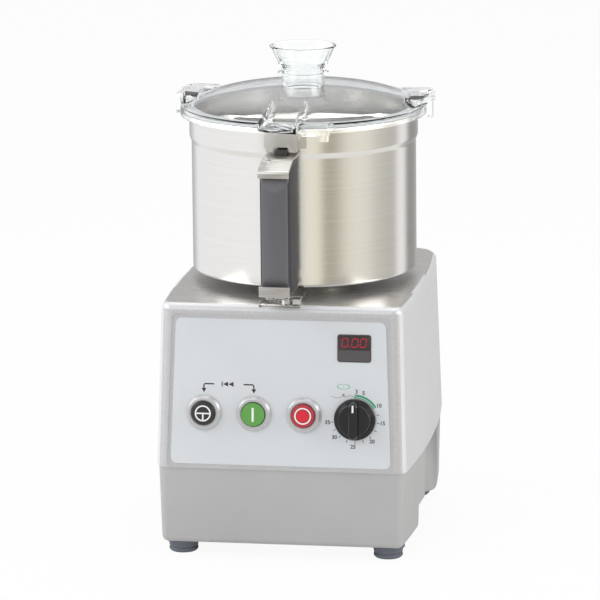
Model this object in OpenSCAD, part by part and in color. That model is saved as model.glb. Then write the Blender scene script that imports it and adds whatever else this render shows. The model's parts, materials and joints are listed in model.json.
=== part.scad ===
// Table-top vertical cutter mixer: a motor base with a sloping control front, a steel bowl
// with a handle, a two-blade cutter on the motor shaft, and a clear lid with a funnel.
// Millimetres, +Z up, front towards -Y. The shaft axis stands shaft_y behind the origin.

/* [Base] */
// Width of the base across its front, at the joint between housing and skirt
base_w = 246; // [240:1:252]
// How far each side swells out beyond the front width, where the base is widest
side_swell = 6; // [4:0.5:8]
// Distance from the shaft axis to the front of the base, at the joint
front_reach = 162; // [160:1:168]
// Distance from the shaft axis to the rear of the base, at the joint
rear_reach = 150; // [148:1:158]
// Height of the joint between housing and skirt
joint_z = 91; // [89:1:94]
// Height of the deck that the bowl stands on
deck_z = 253.6; // [252:1:258]
// How far each side leans in from the joint up to the deck
side_draft = 5.3; // [4:0.5:8]
// How far the front leans back from the joint up to the deck
front_draft = 12.6; // [10:0.2:14]
// Wall of the cast housing
housing_wall = 4; // [3.5:0.25:4.5]
// Thickness of the deck
deck_t = 5; // [4.5:0.25:6]
// Radius of the rounded edge round the deck
deck_edge_r = 7; // [5:0.5:9]
// Wall of the moulded skirt
skirt_wall = 3.5; // [3:0.25:4]
// Height of the rubber feet
foot_h = 13.7; // [12:0.5:15]
// Radius of the rubber feet
foot_r = 14.4; // [13:0.2:15.5]

/* [Control front] */
// Margin beside the panel plate at its bottom edge
panel_side_margin = 14; // [13:0.5:16]
// How much wider that margin is at the panel plate's top edge
panel_taper = 5; // [4:0.5:6]
// Height of the panel plate, measured up the sloping front
panel_h = 144.5; // [140:0.5:146]
// Radius of the coloured push-button caps
cap_r = 11.4; // [10.5:0.1:12]
// Outer radius of the button bezels
bezel_r = 17.5; // [16.5:0.1:18.5]
// How far a push-button travels
button_travel = 3; // [2:0.5:3]
// Radius of the speed knob
knob_r = 20.5; // [19:0.5:21.5]
// Width of the display window
display_w = 33.3; // [31:0.5:35]
// Height of the display window
display_h = 27.3; // [25:0.5:29]

/* [Bowl] */
// Outer radius of the bowl
bowl_r = 112; // [111:0.5:113]
// Height of the bowl from its bottom to its rim
bowl_h = 160.3; // [156:1:166]
// Wall of the bowl
bowl_wall = 1.2; // [1:0.1:1.5]
// How far the bowl's upper band stands out beyond its wall
band_out = 2; // [1:0.25:2.5]
// Height of that upper band
band_h = 26; // [22:1:30]
// Height of the tube in the middle of the bowl
bowl_tube_h = 66; // [60:1:70]

/* [Handle] */
// Distance from the shaft axis to the front of the handle
handle_reach = 185; // [182:1:190]
// Width of the handle
handle_w = 30.4; // [29:0.2:32]
// Depth of the plastic grip, front to back
grip_d = 38; // [35:0.5:40]

/* [Lid] */
// Outer radius of the lid's rim
lid_r = 122.5; // [122:0.25:124]
// Height of the clear dome above the lid's rim
dome_h = 16.5; // [14:0.5:20]
// Inner radius of the lid's neck
neck_r = 19.6; // [18.5:0.1:20]
// Radius of the funnel at its mouth
funnel_r = 33.1; // [31:0.1:35]
// Height of the funnel above the lid's neck
funnel_h = 27; // [24:0.5:30]

/* [Cutter] */
// Radius that the blade tips reach
blade_r = 106.5; // [100:0.5:108]
// Thickness of a blade
blade_t = 2.5; // [2:0.25:3]
// Height from the lower blade to the upper blade
blade_step = 46; // [40:1:50]
// Radius of the motor shaft
shaft_r = 8.5; // [8:0.25:9]

/* [Motor] */
// Radius of the motor's laminated core
core_r = 62; // [58:1:64]
// Height of the motor's laminated core
core_h = 80; // [70:1:84]

/* [Hidden] */
$fn = 72;
hull_fn = 32;
sliver = 0.02;
over = 1;
fit = 0.1;
run = 0.06;
clear = 0.3;

// Frame: the whole part is shifted so that the middle of its footprint stands on the origin
gland_out = 13;
gland_sink = 0.9;
skirt_inset = 1.5;
skirt_draft = 2;
shaft_y = (handle_reach - rear_reach + skirt_inset - gland_out + gland_sink) / 2;

// Plan of the base
wide_y = -30;
side_steps = 12;
front_corner_r = 11;
rear_corner_r = 28;
edge_steps = 5;
rear_draft = 4.5;
corner_least_r = 1;

// Heights inside the base
lean = atan2(front_draft, deck_z - joint_z);
front_len = norm([front_draft, deck_z - joint_z]);
deck_under = deck_z - deck_t;

// Bowl seat: boss on the deck, seat ring, hub flange, bowl
boss_r = 54;
boss_h = 5;
seat_ring_t = 1.6;
hub_flange_t = 2.7;
hub_flange_r = 48;
bowl_z = deck_z + boss_h + seat_ring_t + hub_flange_t;
rim_z = bowl_z + bowl_h;
bowl_corner_r = 6;
tube_r = 17;
tube_wall = 1.2;
tube_top = bowl_z + bowl_tube_h;
band_rise = 5;
rim_roll_r = 1.6;

// Spigot and shaft seal
spigot_r = tube_r - clear - fit;
spigot_bore_r = 12.5;
spigot_h_share = 0.85;
spigot_top = bowl_z + spigot_h_share * bowl_tube_h;
spigot_flange_r = 30;
spigot_flange_t = 4;
seal_h = 8;
deck_bore_r = spigot_r + clear;

// Motor stack, from the deck down
bell_t = 6;
bell_wall = 4;
bell_lap = 10;
bearing_r = 20;
bearing_h = 12;
bearing_seat_wall = 4;
bell_top_z = deck_under - spigot_flange_t;
winding_h = 16;
winding_wall = 20;
winding_gap = 3;
core_top = bell_top_z - bell_t - bearing_h - winding_h - winding_gap;
core_bottom = core_top - core_h;
lower_bell_z = core_bottom - winding_h - winding_gap - bearing_h - bell_t;
core_bore_r = 36;
air_gap = 0.7;
motor_bolt_r = 3;
motor_bolt_pcr = 74;
motor_lug_r = 9;
fan_h = 14;
fan_r = 52;
fan_gap = 2.5;
fan_z = lower_bell_z - fan_gap - fan_h;
fan_blades = 9;
shaft_bottom = fan_z - fan_gap;

// Drive end of the shaft and the cutter's hub
pin_r = 2.5;
pin_half = 13;
pin_rise = 8;
pin_z = tube_top + pin_rise;
hub_gap = 1.8;
hub_in_r = tube_r + tube_wall + hub_gap;
hub_wall = 3.6;
hub_out_r = hub_in_r + hub_wall;
hub_rise = 2;
hub_bottom = bowl_z + bowl_wall + hub_rise;
hub_lip_out = 3.4;
hub_lip_r = hub_out_r + hub_lip_out;
hub_lip_h = 3;
hub_head_gap = 3;
hub_ceiling = tube_top + hub_head_gap;
hub_bore_h = 26;
hub_top = hub_ceiling + hub_bore_h;
shaft_short = 2;
shaft_top = hub_top - shaft_short;
cap_h = 15;
hub_top_r = 15;
nut_h = 8;
lower_blade_z = hub_bottom + hub_lip_h;
upper_blade_z = lower_blade_z + blade_step;
// A blade is the crescent between two circles: radii and centres as shares of blade_r
blade_back_r_share = 0.62;
blade_back_x_share = 0.46;
blade_edge_r_share = 0.66;
blade_edge_x_share = 0.52;
blade_edge_y_share = -0.24;
bevel_w = 5;

// Lid
seal_t = 2.6;
seal_w = 7;
lid_wall = 3;
lid_z = rim_z + seal_t + 2 * fit;
lid_top = lid_z + lid_wall;
lid_skirt_h = 7;
lid_skirt_t = 3.2;
dome_foot_r = 115;
dome_power = 3.7;
dome_steps = 14;
neck_wall = 1.6;
neck_h = 14;
neck_top = lid_top + dome_h + neck_h;
collar_out = 4.4;
collar_r = neck_r + neck_wall + collar_out;
collar_t = 1.6;
clip_half_w = 18.8;
fin_t = 3;
clip_reach = 160.6;
clip_sink = 0.2;
clip_z = lid_z - clip_sink;
clip_t = 4.3;
clip_top = clip_z + clip_t;
ramp_rise = 1.7;
fin_front_h = 10.3;
fin_rear_y = 84;
fin_fall = 1.5;
fin_rear_top = lid_top + dome_h - fin_fall;
lug_from = 8;
lug_sweep = 13;
lug_ramp_sweep = 5;
lug_inset_a = 0.5;
lug_in_r = 120.5;
lug_out_r = 125.5;
lug_drop = 12;
lug_ramp_drop = 18;
ear_h = 7.4;
ear_top = lid_top + ear_h;
ear_wall = 2.6;
ear_in_r = 104;
ear_out_r = 132;
ear_near_r = 119.5;
ear_from = -10;
ear_bend = 13;
ear_to = 28;
hook_from = 1;
hook_sweep = 9;
hook_gap = 2;
hook_in_r = lid_r + hook_gap;
hook_drop = 14;
hook_z = lid_top - hook_drop;

// Funnel
spout_len = 15;
funnel_wall = 1.6;
funnel_flange_h = 3.3;
funnel_waist_h = 8;
funnel_ring_r = 24.8;
funnel_ring_h = 1.8;
funnel_bead_r = 1.5;
funnel_z = neck_top + fit;
funnel_top = funnel_z + funnel_h;

// Handle, seen from the side: y places are distances in front of the shaft axis
sheet = 2;
channel_y = 136;
channel_drop = 20;
channel_z = rim_z - channel_drop;
channel_gap = 0.8;
channel_top = lid_top - lid_skirt_h - lid_wall - channel_gap;
channel_face_gap = 1.4;
channel_face_top = clip_z - channel_face_gap;
wing_w = 6;
strap_t = 2.5;
strap_drop = 2.3;
strap_top = channel_z - strap_drop;
strap_bend_r = 15;
strap_lip = 9;
strap_notch_half = 7;
strap_notch_y = 140;
foot_strap_t = 3;
foot_strap_rise = 6.6;
foot_strap_z = bowl_z + foot_strap_rise;
foot_strap_lip = 10;
grip_r = 8;
grip_front = handle_reach - strap_t;
grip_bottom = foot_strap_z + foot_strap_t;
grip_top = strap_top - strap_t;
grip_flare_d = 14;
grip_flare_h = 14;
scallop_r = 14;
scallop_sink = 0.7;
rod_r = 3;
rod_y = 153;
rod_head_r = 4;
rod_head_y = 127.5;
rod_travel = 2;
rod_tip_drop = 1;
rod_tip = bowl_z - rod_tip_drop;
rod_head_rise = 0.25;
rod_head_top = clip_z + rod_head_rise;
tongue_half = 5.8;
tongue_rise = 4.5;
tongue_top = strap_top + tongue_rise;
arm_half = 4;
arm_h = 4;
arm_drop = 12;
tie_x = -8.5;
tie_y = 164;
tie_r = 2.5;
nut_r = 4.6;
grip_nut_h = 5;
hook_w = 12;
lock_hook_h = 6;
lock_hook_x = -4;
lock_hook_y = 170;
lock_hook_t = 3;

// Catch and switch in the deck, in front of the bowl
slot_x0 = -22;
slot_x1 = 19;
slot_from_y = 104;
slot_depth = 2.6;
catch_t = 1.5;
catch_rail_h = 6;
catch_box_w = 7;
catch_box_d = 10;
catch_box_h = 7;
plunger_r = 2.6;
plunger_x = 3;
plunger_y = 133;
plunger_top = rod_tip - clear;
plunger_guide_r = 5;
switch_h = 16;
switch_w = 14;
switch_d = 24;
rod_foot_h = 4;

// Control front: places across (x) and up the slope (u); n counts outwards from the casting
panel_bottom_w = base_w - 2 * panel_side_margin;
panel_top_w = panel_bottom_w - 2 * panel_taper;
panel_u = 4.4;
panel_corner_r = 6;
panel_t = 1;
panel_sink = 1.3;
recess_margin = 4;
panel_n = panel_t - panel_sink;
// Places across the panel, as shares of its bottom width
button_x_shares = [-0.348165, -0.120872, 0.106422];
button_x = button_x_shares * panel_bottom_w;
button_u = 55.6;
knob_x_share = 0.338991;
knob_x = knob_x_share * panel_bottom_w;
knob_u = 52.9;
display_inset = 31.1;
display_x = panel_top_w / 2 - display_inset;
display_u = 122.9;
display_t = 1.8;
display_corner_r = 2;
bezel_h = 4.6;
bezel_floor = 1;
barrel_r = 13.4;
barrel_in_r = 9.6;
barrel_h = 9;
cap_h_low = 4.2;
cap_t = 2.6;
stem_r = 4;
stem_len = 24;
contact_w = 26;
contact_h = 20;
spindle_r = 3;
pot_r = 13;
pot_h = 14;
pot_nut_r = 6;
knob_edge = 1;
knob_disc_t = 3.5;
knob_body_r = 16.5;
knob_body_t = 9;
knob_bar_w = 9.5;
knob_bar_t = 7;

// Skirt: side recess (hand hold) and arch, as distances behind the shaft axis
arch_from = -79;
arch_to = 60;
arch_z = 38.5;
arch_depth = 35;
arch_in_x = base_w / 2 - arch_depth;
recess_from = -42;
recess_deep_from = -30;
recess_deep_to = 48;
recess_to = 88;
recess_depth = 18;
recess_x = base_w / 2 - recess_depth;
skirt_round = 6;
skirt_floor = 3.5;
skirt_lip_h = 6;
skirt_lip_t = 2;
vent_n = 9;
vent_w = 3;
vent_pitch = 8;
vent_h = 26;
vent_z = 44;
side_vent_n = 8;

// Feet
foot_inset = 20.6;
foot_x = base_w / 2 - foot_inset;
foot_front_inset = 28.2;
foot_front_y = foot_front_inset - front_reach;
rear_foot_inset = 28;
rear_foot_x = base_w / 2 - rear_foot_inset;
rear_foot_to_rear = 38;
rear_foot_y = rear_reach - rear_foot_to_rear;
foot_flange_h = 3.4;
foot_flange_out = 2.1;
foot_rib_h = 1.8;
foot_rib_in = 0.9;
foot_round = 2;
foot_screw_r = 2.5;
foot_screw_head_r = 5;
foot_screw_head_h = 3;

// Electronics on the chassis plate
chassis_z = arch_z + skirt_floor;
chassis_t = 2;
chassis_side_gap = 13;
chassis_w = 2 * (arch_in_x - chassis_side_gap);
chassis_d = 190;
chassis_y = 10;
board_margin = 10;
board_w = chassis_w - 2 * board_margin;
board_d = 90;
board_t = 1.6;
board_y = 60;
board_gap = 5;
sink_w = board_w - 2 * board_margin;
sink_d = 26;
sink_h = 18;
sink_fins = 9;
capacitor_r = 8;
capacitor_h = 14;
terminal_w = 44;
terminal_d = 16;
terminal_h = 14;
terminal_ways = 5;
gland_inset = 63;
gland_x = gland_inset - base_w / 2;
gland_z = 66;
gland_bore_r = 4.2;
gland_r = 8;
gland_nut_r = 11;
gland_nut_h = 5;
gland_in = 9;

module at_shaft() translate([0, shaft_y, 0]) children();

// Frame of the sloping front: x across, y up the slope, z outwards, from the joint
module on_front(x = 0, u = 0) at_shaft()
    translate([0, -front_reach, joint_z]) rotate([90 - lean, 0, 0]) translate([x, u, 0]) children();

module both_sides() for (side = [-1, 1]) scale([side, 1, 1]) children();

module ring(r_out, r_in, h) difference() {
    cylinder(r = r_out, h = h);
    translate([0, 0, -over]) cylinder(r = r_in, h = h + 2 * over);
}

module rounded_rect(w, d, r) {
    square([w - 2 * r, d], center = true);
    square([w, d - 2 * r], center = true);
    for (x = [-1, 1], y = [-1, 1]) translate([x * (w / 2 - r), y * (d / 2 - r)]) circle(r = r);
}

// A profile drawn in (forward, up), extruded across the handle
module across(w, x = 0) translate([x, 0, 0])
    rotate([90, 0, -90]) linear_extrude(w, center = true) children();

// Half width of the base at y behind the shaft, at a share of the way up the housing
function half_width(y, inset, up_share) = base_w / 2 + side_swell - inset - side_draft * up_share
    - side_swell * pow((y - wide_y) / (front_reach + wide_y), 2);

// Marks the outline of the base at one level; a hull joins the marks
module plan_marks(inset, up_share) {
    y0 = -front_reach + inset + front_draft * up_share;
    y1 = rear_reach - inset - rear_draft * up_share;
    cf = max(front_corner_r - inset, corner_least_r);
    cr = rear_corner_r - inset;
    ya = y0 + cf;
    yb = y1 - cr;
    for (side = [-1, 1]) {
        translate([side * (half_width(ya, inset, up_share) - cf), ya]) circle(r = cf, $fn = hull_fn);
        translate([side * (half_width(yb, inset, up_share) - cr), yb]) circle(r = cr, $fn = hull_fn);
        polygon([[0, ya], for (i = [0 : side_steps]) let (y = ya + (yb - ya) * i / side_steps)
            [side * half_width(y, inset, up_share), y], [0, yb]]);
    }
}

module level(z, inset, up_share) translate([0, 0, z]) linear_extrude(sliver) plan_marks(inset, up_share);

// Solid form of the upper housing, drawn in by inset and with its top at top_z
module housing_form(inset, bottom_z, top_z, round_r) hull() {
    level(bottom_z, inset, (bottom_z - joint_z) / (deck_z - joint_z));
    for (i = [0 : edge_steps]) let (a = 90 * i / edge_steps, z = top_z - round_r * (1 - sin(a)) - sliver)
        level(z, inset + round_r * (1 - cos(a)), (z - joint_z) / (deck_z - joint_z));
}

module panel_shape(margin) {
    w0 = panel_bottom_w / 2 + margin - panel_corner_r;
    w1 = panel_top_w / 2 + margin - panel_corner_r;
    y0 = panel_u - margin + panel_corner_r;
    y1 = panel_u + panel_h + margin - panel_corner_r;
    hull() for (side = [-1, 1]) {
        translate([side * w0, y0]) circle(r = panel_corner_r, $fn = hull_fn);
        translate([side * w1, y1]) circle(r = panel_corner_r, $fn = hull_fn);
    }
}

module front_holes() {
    for (x = button_x) on_front(x, button_u) translate([0, 0, -over - housing_wall - contact_h])
        cylinder(r = barrel_r + fit, h = contact_h + housing_wall + bezel_h);
    on_front(knob_x, knob_u) translate([0, 0, -over - housing_wall])
        cylinder(r = pot_nut_r + fit, h = housing_wall + bezel_h);
    on_front(display_x, display_u) translate([0, 0, -over - housing_wall])
        linear_extrude(housing_wall + bezel_h)
            square([display_w - display_t, display_h - display_t], center = true);
}

module upper_housing() color([0.85, 0.86, 0.87]) difference() {
    at_shaft() union() {
        difference() {
            housing_form(0, joint_z, deck_z, deck_edge_r);
            housing_form(housing_wall, joint_z - over, deck_under, sliver);
        }
        translate([0, 0, deck_under]) cylinder(r = boss_r, h = deck_t + boss_h);
        for (a = [45 : 90 : 315]) rotate(a) translate([motor_bolt_pcr, 0, bell_top_z])
            cylinder(r = motor_lug_r, h = deck_z - bell_top_z - over);
    }
    at_shaft() translate([0, 0, bell_top_z - over]) cylinder(r = deck_bore_r, h = deck_z);
    at_shaft() for (a = [45 : 90 : 315]) rotate(a)
        translate([motor_bolt_pcr, 0, bell_top_z - over])
            cylinder(r = motor_bolt_r + fit, h = deck_t + over);
    at_shaft() translate([slot_x0, -front_reach, deck_z - slot_depth])
        cube([slot_x1 - slot_x0, front_reach - slot_from_y, slot_depth + over]);
    at_shaft() translate([plunger_x, -plunger_y, deck_under - over])
        cylinder(r = plunger_r + clear, h = deck_t + 2 * over);
    on_front() translate([0, 0, -panel_sink]) linear_extrude(panel_sink + over) panel_shape(recess_margin);
    front_holes();
}

module control_panel() color([0.87, 0.89, 0.91]) difference() {
    on_front() translate([0, 0, -panel_sink]) linear_extrude(panel_t) panel_shape(0);
    front_holes();
    on_front(display_x, display_u) translate([0, 0, -over - housing_wall])
        linear_extrude(housing_wall + bezel_h)
            square([display_w + 2 * fit, display_h + 2 * fit], center = true);
}

module display_window() color([0.12, 0.05, 0.06]) on_front(display_x, display_u)
    translate([0, 0, -panel_sink]) linear_extrude(display_t)
        rounded_rect(display_w, display_h, display_corner_r);

module display_board() color([0.1, 0.35, 0.2]) on_front(display_x, display_u) {
    translate([0, 0, -housing_wall - board_gap - board_t]) linear_extrude(board_t)
        square([display_w + 2 * board_gap, display_h + 2 * board_gap], center = true);
    for (x = [-1, 1], y = [-1, 1])
        translate([x * (display_w / 2 + board_gap / 2), y * (display_h / 2 + board_gap / 2),
            -housing_wall - board_gap - sliver])
            cylinder(r = board_t, h = board_gap);
}

module bezel(i) on_front(button_x[i], button_u) translate([0, 0, panel_n]) rotate_extrude() {
    polygon([[cap_r + clear, 0], [bezel_r, 0], [bezel_r, bezel_h - bezel_floor],
        [bezel_r - bezel_floor, bezel_h],
        [cap_r + clear + bezel_floor, bezel_h], [cap_r + clear, bezel_h - bezel_floor]]);
    translate([barrel_in_r, 0]) square([bezel_r - barrel_in_r - bezel_floor, bezel_floor]);
    translate([barrel_in_r, -barrel_h]) square([barrel_r - barrel_in_r, barrel_h]);
}
module pulse_bezel() color([0.8, 0.8, 0.82]) bezel(0);
module start_bezel() color([0.8, 0.8, 0.82]) bezel(1);
module stop_bezel() color([0.8, 0.8, 0.82]) bezel(2);

module push_button(i) on_front(button_x[i], button_u) translate([0, 0, panel_n]) {
    translate([0, 0, cap_h_low]) cylinder(r = cap_r, h = cap_t);
    translate([0, 0, cap_h_low - stem_len]) cylinder(r = stem_r, h = stem_len);
}
module pulse_button() color([0.12, 0.12, 0.13]) push_button(0);
module start_button() color([0.35, 0.72, 0.3]) push_button(1);
module stop_button() color([0.8, 0.1, 0.15]) push_button(2);

module contact_blocks() color([0.2, 0.3, 0.25]) for (x = button_x) on_front(x, button_u)
    translate([0, 0, panel_n - barrel_h - contact_h]) difference() {
        linear_extrude(contact_h) rounded_rect(contact_w, contact_w, display_corner_r);
        translate([0, 0, over]) cylinder(r = stem_r + clear, h = contact_h);
    }

module potentiometer() color([0.3, 0.3, 0.32]) on_front(knob_x, knob_u) difference() {
    union() {
        translate([0, 0, -housing_wall - pot_h]) cylinder(r = pot_r, h = pot_h);
        translate([0, 0, -housing_wall]) cylinder(r = pot_nut_r, h = housing_wall + panel_n);
    }
    translate([0, 0, -housing_wall - pot_h + over]) cylinder(r = spindle_r + run, h = pot_h + bezel_h);
}

module speed_knob() color([0.08, 0.08, 0.09]) on_front(knob_x, knob_u) translate([0, 0, panel_n + clear])
    difference() {
    union() {
        rotate_extrude() polygon([[0, 0], [knob_r, 0], [knob_r, knob_disc_t - knob_edge],
            [knob_r - knob_edge, knob_disc_t], [knob_body_r, knob_disc_t],
            [knob_body_r - knob_edge, knob_body_t], [0, knob_body_t]]);
        translate([0, 0, knob_disc_t]) intersection() {
            linear_extrude(knob_body_t + knob_bar_t - knob_disc_t)
                square([knob_bar_w, 2 * knob_r], center = true);
            cylinder(r = knob_r - knob_edge, h = knob_body_t + knob_bar_t);
        }
    }
    translate([0, 0, -over]) cylinder(r = spindle_r, h = knob_body_t + over);
}

module knob_spindle() color([0.7, 0.7, 0.72]) on_front(knob_x, knob_u)
    translate([0, 0, -housing_wall - pot_h + 2 * over])
        cylinder(r = spindle_r, h = housing_wall + pot_h - 2 * over + panel_n + clear + knob_body_t);

// Solid form of the skirt, drawn in by inset, from bottom_z up to the joint
function skirt_share(z) = (z - joint_z) / (deck_z - joint_z);
module skirt_form(inset, bottom_z, round_r, top_z) hull() {
    level(top_z - sliver, skirt_inset + inset, 0);
    for (i = [0 : edge_steps]) let (a = 90 * i / edge_steps)
        level(bottom_z + round_r * (1 - sin(a)),
            skirt_inset + skirt_draft + inset + round_r * (1 - cos(a)), 0);
}

// Space of the hand hold in one side of the skirt, drawn out by grow
module hand_hold(grow, h) translate([0, 0, -over]) linear_extrude(h + over)
    polygon([[base_w, recess_from - grow], [recess_x + side_swell + skirt_wall, recess_from - grow],
        [recess_x - grow, recess_deep_from - grow], [recess_x - grow, recess_deep_to + grow],
        [recess_x + side_swell, (recess_deep_to + recess_to) / 2 + grow],
            [base_w / 2 + side_swell, recess_to + grow],
        [base_w, recess_to + grow]]);

// Space under the arch between the front and rear legs, drawn out by grow
module leg_arch(grow) translate([arch_in_x - grow, arch_from - grow, -over])
    cube([base_w, arch_to - arch_from + 2 * grow, arch_z + over + grow]);

module lower_skirt() color([0.68, 0.68, 0.67]) at_shaft() difference() {
    union() {
        difference() {
            skirt_form(0, foot_h, skirt_round, joint_z);
            difference() {
                skirt_form(skirt_wall, foot_h + skirt_floor, skirt_round, joint_z + over);
                both_sides() hand_hold(skirt_wall, joint_z + 2 * over);
                both_sides() leg_arch(skirt_wall);
            }
        }
        difference() {
            housing_form(housing_wall + clear, joint_z - skirt_wall, joint_z + skirt_lip_h, sliver);
            housing_form(housing_wall + clear + skirt_lip_t, joint_z - skirt_wall - over,
                joint_z + skirt_lip_h + over, sliver);
            both_sides() hand_hold(skirt_wall, joint_z + 2 * skirt_lip_h);
        }
        intersection() {
            housing_form(housing_wall + clear, joint_z - sliver, joint_z + skirt_wall, sliver);
            both_sides() hand_hold(skirt_wall, joint_z + 2 * skirt_lip_h);
        }
    }
    both_sides() hand_hold(0, joint_z);
    both_sides() leg_arch(0);
    for (i = [0 : vent_n - 1]) translate([(i - (vent_n - 1) / 2) * vent_pitch,
        rear_reach - rear_corner_r, vent_z])
        cube([vent_w, rear_corner_r + over, vent_h]);
    both_sides() for (i = [0 : side_vent_n - 1])
        translate([recess_x - skirt_wall - over, recess_deep_from + (i + 1) * vent_pitch, vent_z + over])
            cube([skirt_wall + 2 * over, vent_w, vent_h]);
    translate([gland_x, 0, gland_z]) rotate([-90, 0, 0])
        cylinder(r = gland_r + fit, h = rear_reach + over);
    translate([gland_x, rear_reach - skirt_inset - gland_sink, gland_z]) rotate([-90, 0, 0])
        cylinder(r = gland_nut_r + clear, h = gland_out);
    foot_places() cylinder(r = foot_screw_r + fit, h = foot_h + skirt_floor + over);
}

module foot_places() {
    both_sides() translate([foot_x, foot_front_y, 0]) children();
    both_sides() translate([rear_foot_x, rear_foot_y, 0]) children();
}

module rubber_feet() color([0.33, 0.35, 0.4]) at_shaft() foot_places() rotate_extrude() difference() {
    polygon([[foot_screw_r + fit, 0], [foot_r - foot_round, 0], [foot_r, foot_round],
        [foot_r, foot_round + foot_rib_h], [foot_r - foot_rib_in, foot_round + foot_rib_h + foot_rib_in],
        [foot_r, foot_round + foot_rib_h + 2 * foot_rib_in],
            [foot_r, foot_h - foot_flange_h - foot_rib_in],
        [foot_r + foot_flange_out, foot_h - foot_flange_h], [foot_r + foot_flange_out, foot_h],
            [foot_screw_r + fit, foot_h]]);
    translate([0, -over]) square([foot_screw_head_r + fit, foot_screw_head_h + over + over]);
}

module foot_screws() color([0.6, 0.6, 0.62]) at_shaft() foot_places() translate([0, 0, over]) {
    cylinder(r = foot_screw_head_r, h = foot_screw_head_h);
    cylinder(r = foot_screw_r, h = foot_h + skirt_floor);
}

module chassis_plate() color([0.75, 0.75, 0.77]) at_shaft() difference() {
    union() {
        translate([-chassis_w / 2, chassis_y - chassis_d / 2, chassis_z])
            cube([chassis_w, chassis_d, chassis_t]);
        both_sides() translate([chassis_w / 2 - chassis_t, chassis_y - chassis_d / 2,
            foot_h + skirt_floor])
            cube([chassis_t, chassis_d, chassis_z - foot_h - skirt_floor + over]);
        for (x = [-1, 1], y = [-1, 1])
            translate([x * (board_w / 2 - board_gap), board_y + y * (board_d / 2 - board_gap), chassis_z])
            cylinder(r = board_gap - over, h = chassis_t + board_gap);
    }
}

module drive_board() color([0.1, 0.4, 0.22]) at_shaft()
    translate([-board_w / 2, board_y - board_d / 2, chassis_z + chassis_t + board_gap])
        cube([board_w, board_d, board_t]);
board_top = chassis_z + chassis_t + board_gap + board_t;

module heat_sink() color([0.6, 0.62, 0.65]) at_shaft()
    translate([-sink_w / 2, board_y + board_d / 2 - sink_d, board_top]) {
        cube([sink_w, sink_d, sink_h / 4]);
        for (i = [0 : sink_fins - 1]) translate([i * (sink_w - chassis_t) / (sink_fins - 1), 0, 0])
            cube([chassis_t, sink_d, sink_h]);
    }

module capacitors() color([0.15, 0.15, 0.3]) at_shaft() for (i = [-1, 1])
    translate([i * 1.5 * capacitor_r, board_y - board_d / 2 + 1.5 * capacitor_r, board_top])
        cylinder(r = capacitor_r, h = capacitor_h);

module terminal_block() color([0.85, 0.85, 0.8]) at_shaft()
    translate([gland_x + capacitor_r, board_y - board_d / 4, board_top]) difference() {
        cube([terminal_w, terminal_d, terminal_h]);
        for (i = [1 : terminal_ways - 1])
            translate([i * terminal_w / terminal_ways, -over, terminal_h / 2])
            cube([board_t, terminal_d + 2 * over, terminal_h]);
    }

module cable_gland() color([0.15, 0.15, 0.16]) at_shaft()
    translate([gland_x, rear_reach - skirt_inset - gland_sink, gland_z]) rotate([-90, 0, 0]) difference() {
        union() {
            translate([0, 0, -gland_in]) cylinder(r = gland_r, h = gland_in + gland_out);
            cylinder(r = gland_nut_r, h = gland_nut_h, $fn = 6);
            translate([0, 0, gland_nut_h]) cylinder(r1 = gland_nut_r - over, r2 = gland_r,
                h = gland_nut_h);
        }
        translate([0, 0, -gland_in - over])
            cylinder(r = gland_bore_r, h = gland_in + gland_out + 2 * over);
    }

module bowl_spigot() color([0.55, 0.56, 0.58]) at_shaft() difference() {
    union() {
        translate([0, 0, bell_top_z]) cylinder(r = spigot_flange_r, h = spigot_flange_t);
        translate([0, 0, bell_top_z]) cylinder(r = spigot_r, h = spigot_top - bell_top_z);
    }
    translate([0, 0, bell_top_z - over]) cylinder(r = spigot_bore_r, h = spigot_top);
}

module shaft_seal() color([0.1, 0.1, 0.1]) at_shaft() translate([0, 0, spigot_top - seal_h])
    ring(spigot_bore_r, shaft_r + run, seal_h);

module bell(z, seat_side) {
    seat_z = seat_side > 0 ? z - bearing_h : z + bell_t;
    skirt_z = seat_side > 0 ? core_top - bell_lap : z;
    skirt_h = seat_side > 0 ? z - core_top + bell_lap : core_bottom + bell_lap - z;
    difference() {
        union() {
            translate([0, 0, z]) cylinder(r = core_r + bell_wall, h = bell_t);
            translate([0, 0, skirt_z]) ring(core_r + bell_wall, core_r + fit, skirt_h);
            translate([0, 0, seat_z]) cylinder(r = bearing_r + bearing_seat_wall, h = bearing_h);
            if (seat_side > 0) for (a = [45 : 90 : 315]) rotate(a) translate([motor_bolt_pcr, 0, z])
                cylinder(r = motor_lug_r, h = bell_t);
            if (seat_side > 0) for (a = [45, 135]) rotate(a) translate([-motor_bolt_pcr, -motor_lug_r, z])
                cube([2 * motor_bolt_pcr, 2 * motor_lug_r, bell_t]);
        }
        translate([0, 0, seat_z - (seat_side > 0 ? over : 0)])
            cylinder(r = bearing_r, h = bearing_h + over);
        translate([0, 0, z - over]) cylinder(r = spigot_bore_r, h = bell_t + 2 * over);
        if (seat_side > 0) for (a = [45 : 90 : 315]) rotate(a) translate([motor_bolt_pcr, 0, z - over])
            cylinder(r = motor_bolt_r + fit, h = bell_t + 2 * over);
    }
}
module upper_bell() color([0.6, 0.6, 0.63]) at_shaft() bell(bell_top_z - bell_t, 1);
module lower_bell() color([0.6, 0.6, 0.63]) at_shaft() bell(lower_bell_z, -1);
module bearing() ring(bearing_r, shaft_r + run, bearing_h - fit);
module upper_bearing() color([0.8, 0.8, 0.83]) at_shaft()
    translate([0, 0, bell_top_z - bell_t - bearing_h + fit]) bearing();
module lower_bearing() color([0.8, 0.8, 0.83]) at_shaft() translate([0, 0, lower_bell_z + bell_t])
    bearing();
module stator_core() color([0.4, 0.4, 0.43]) at_shaft() translate([0, 0, core_bottom])
    ring(core_r, core_bore_r, core_h);
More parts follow.
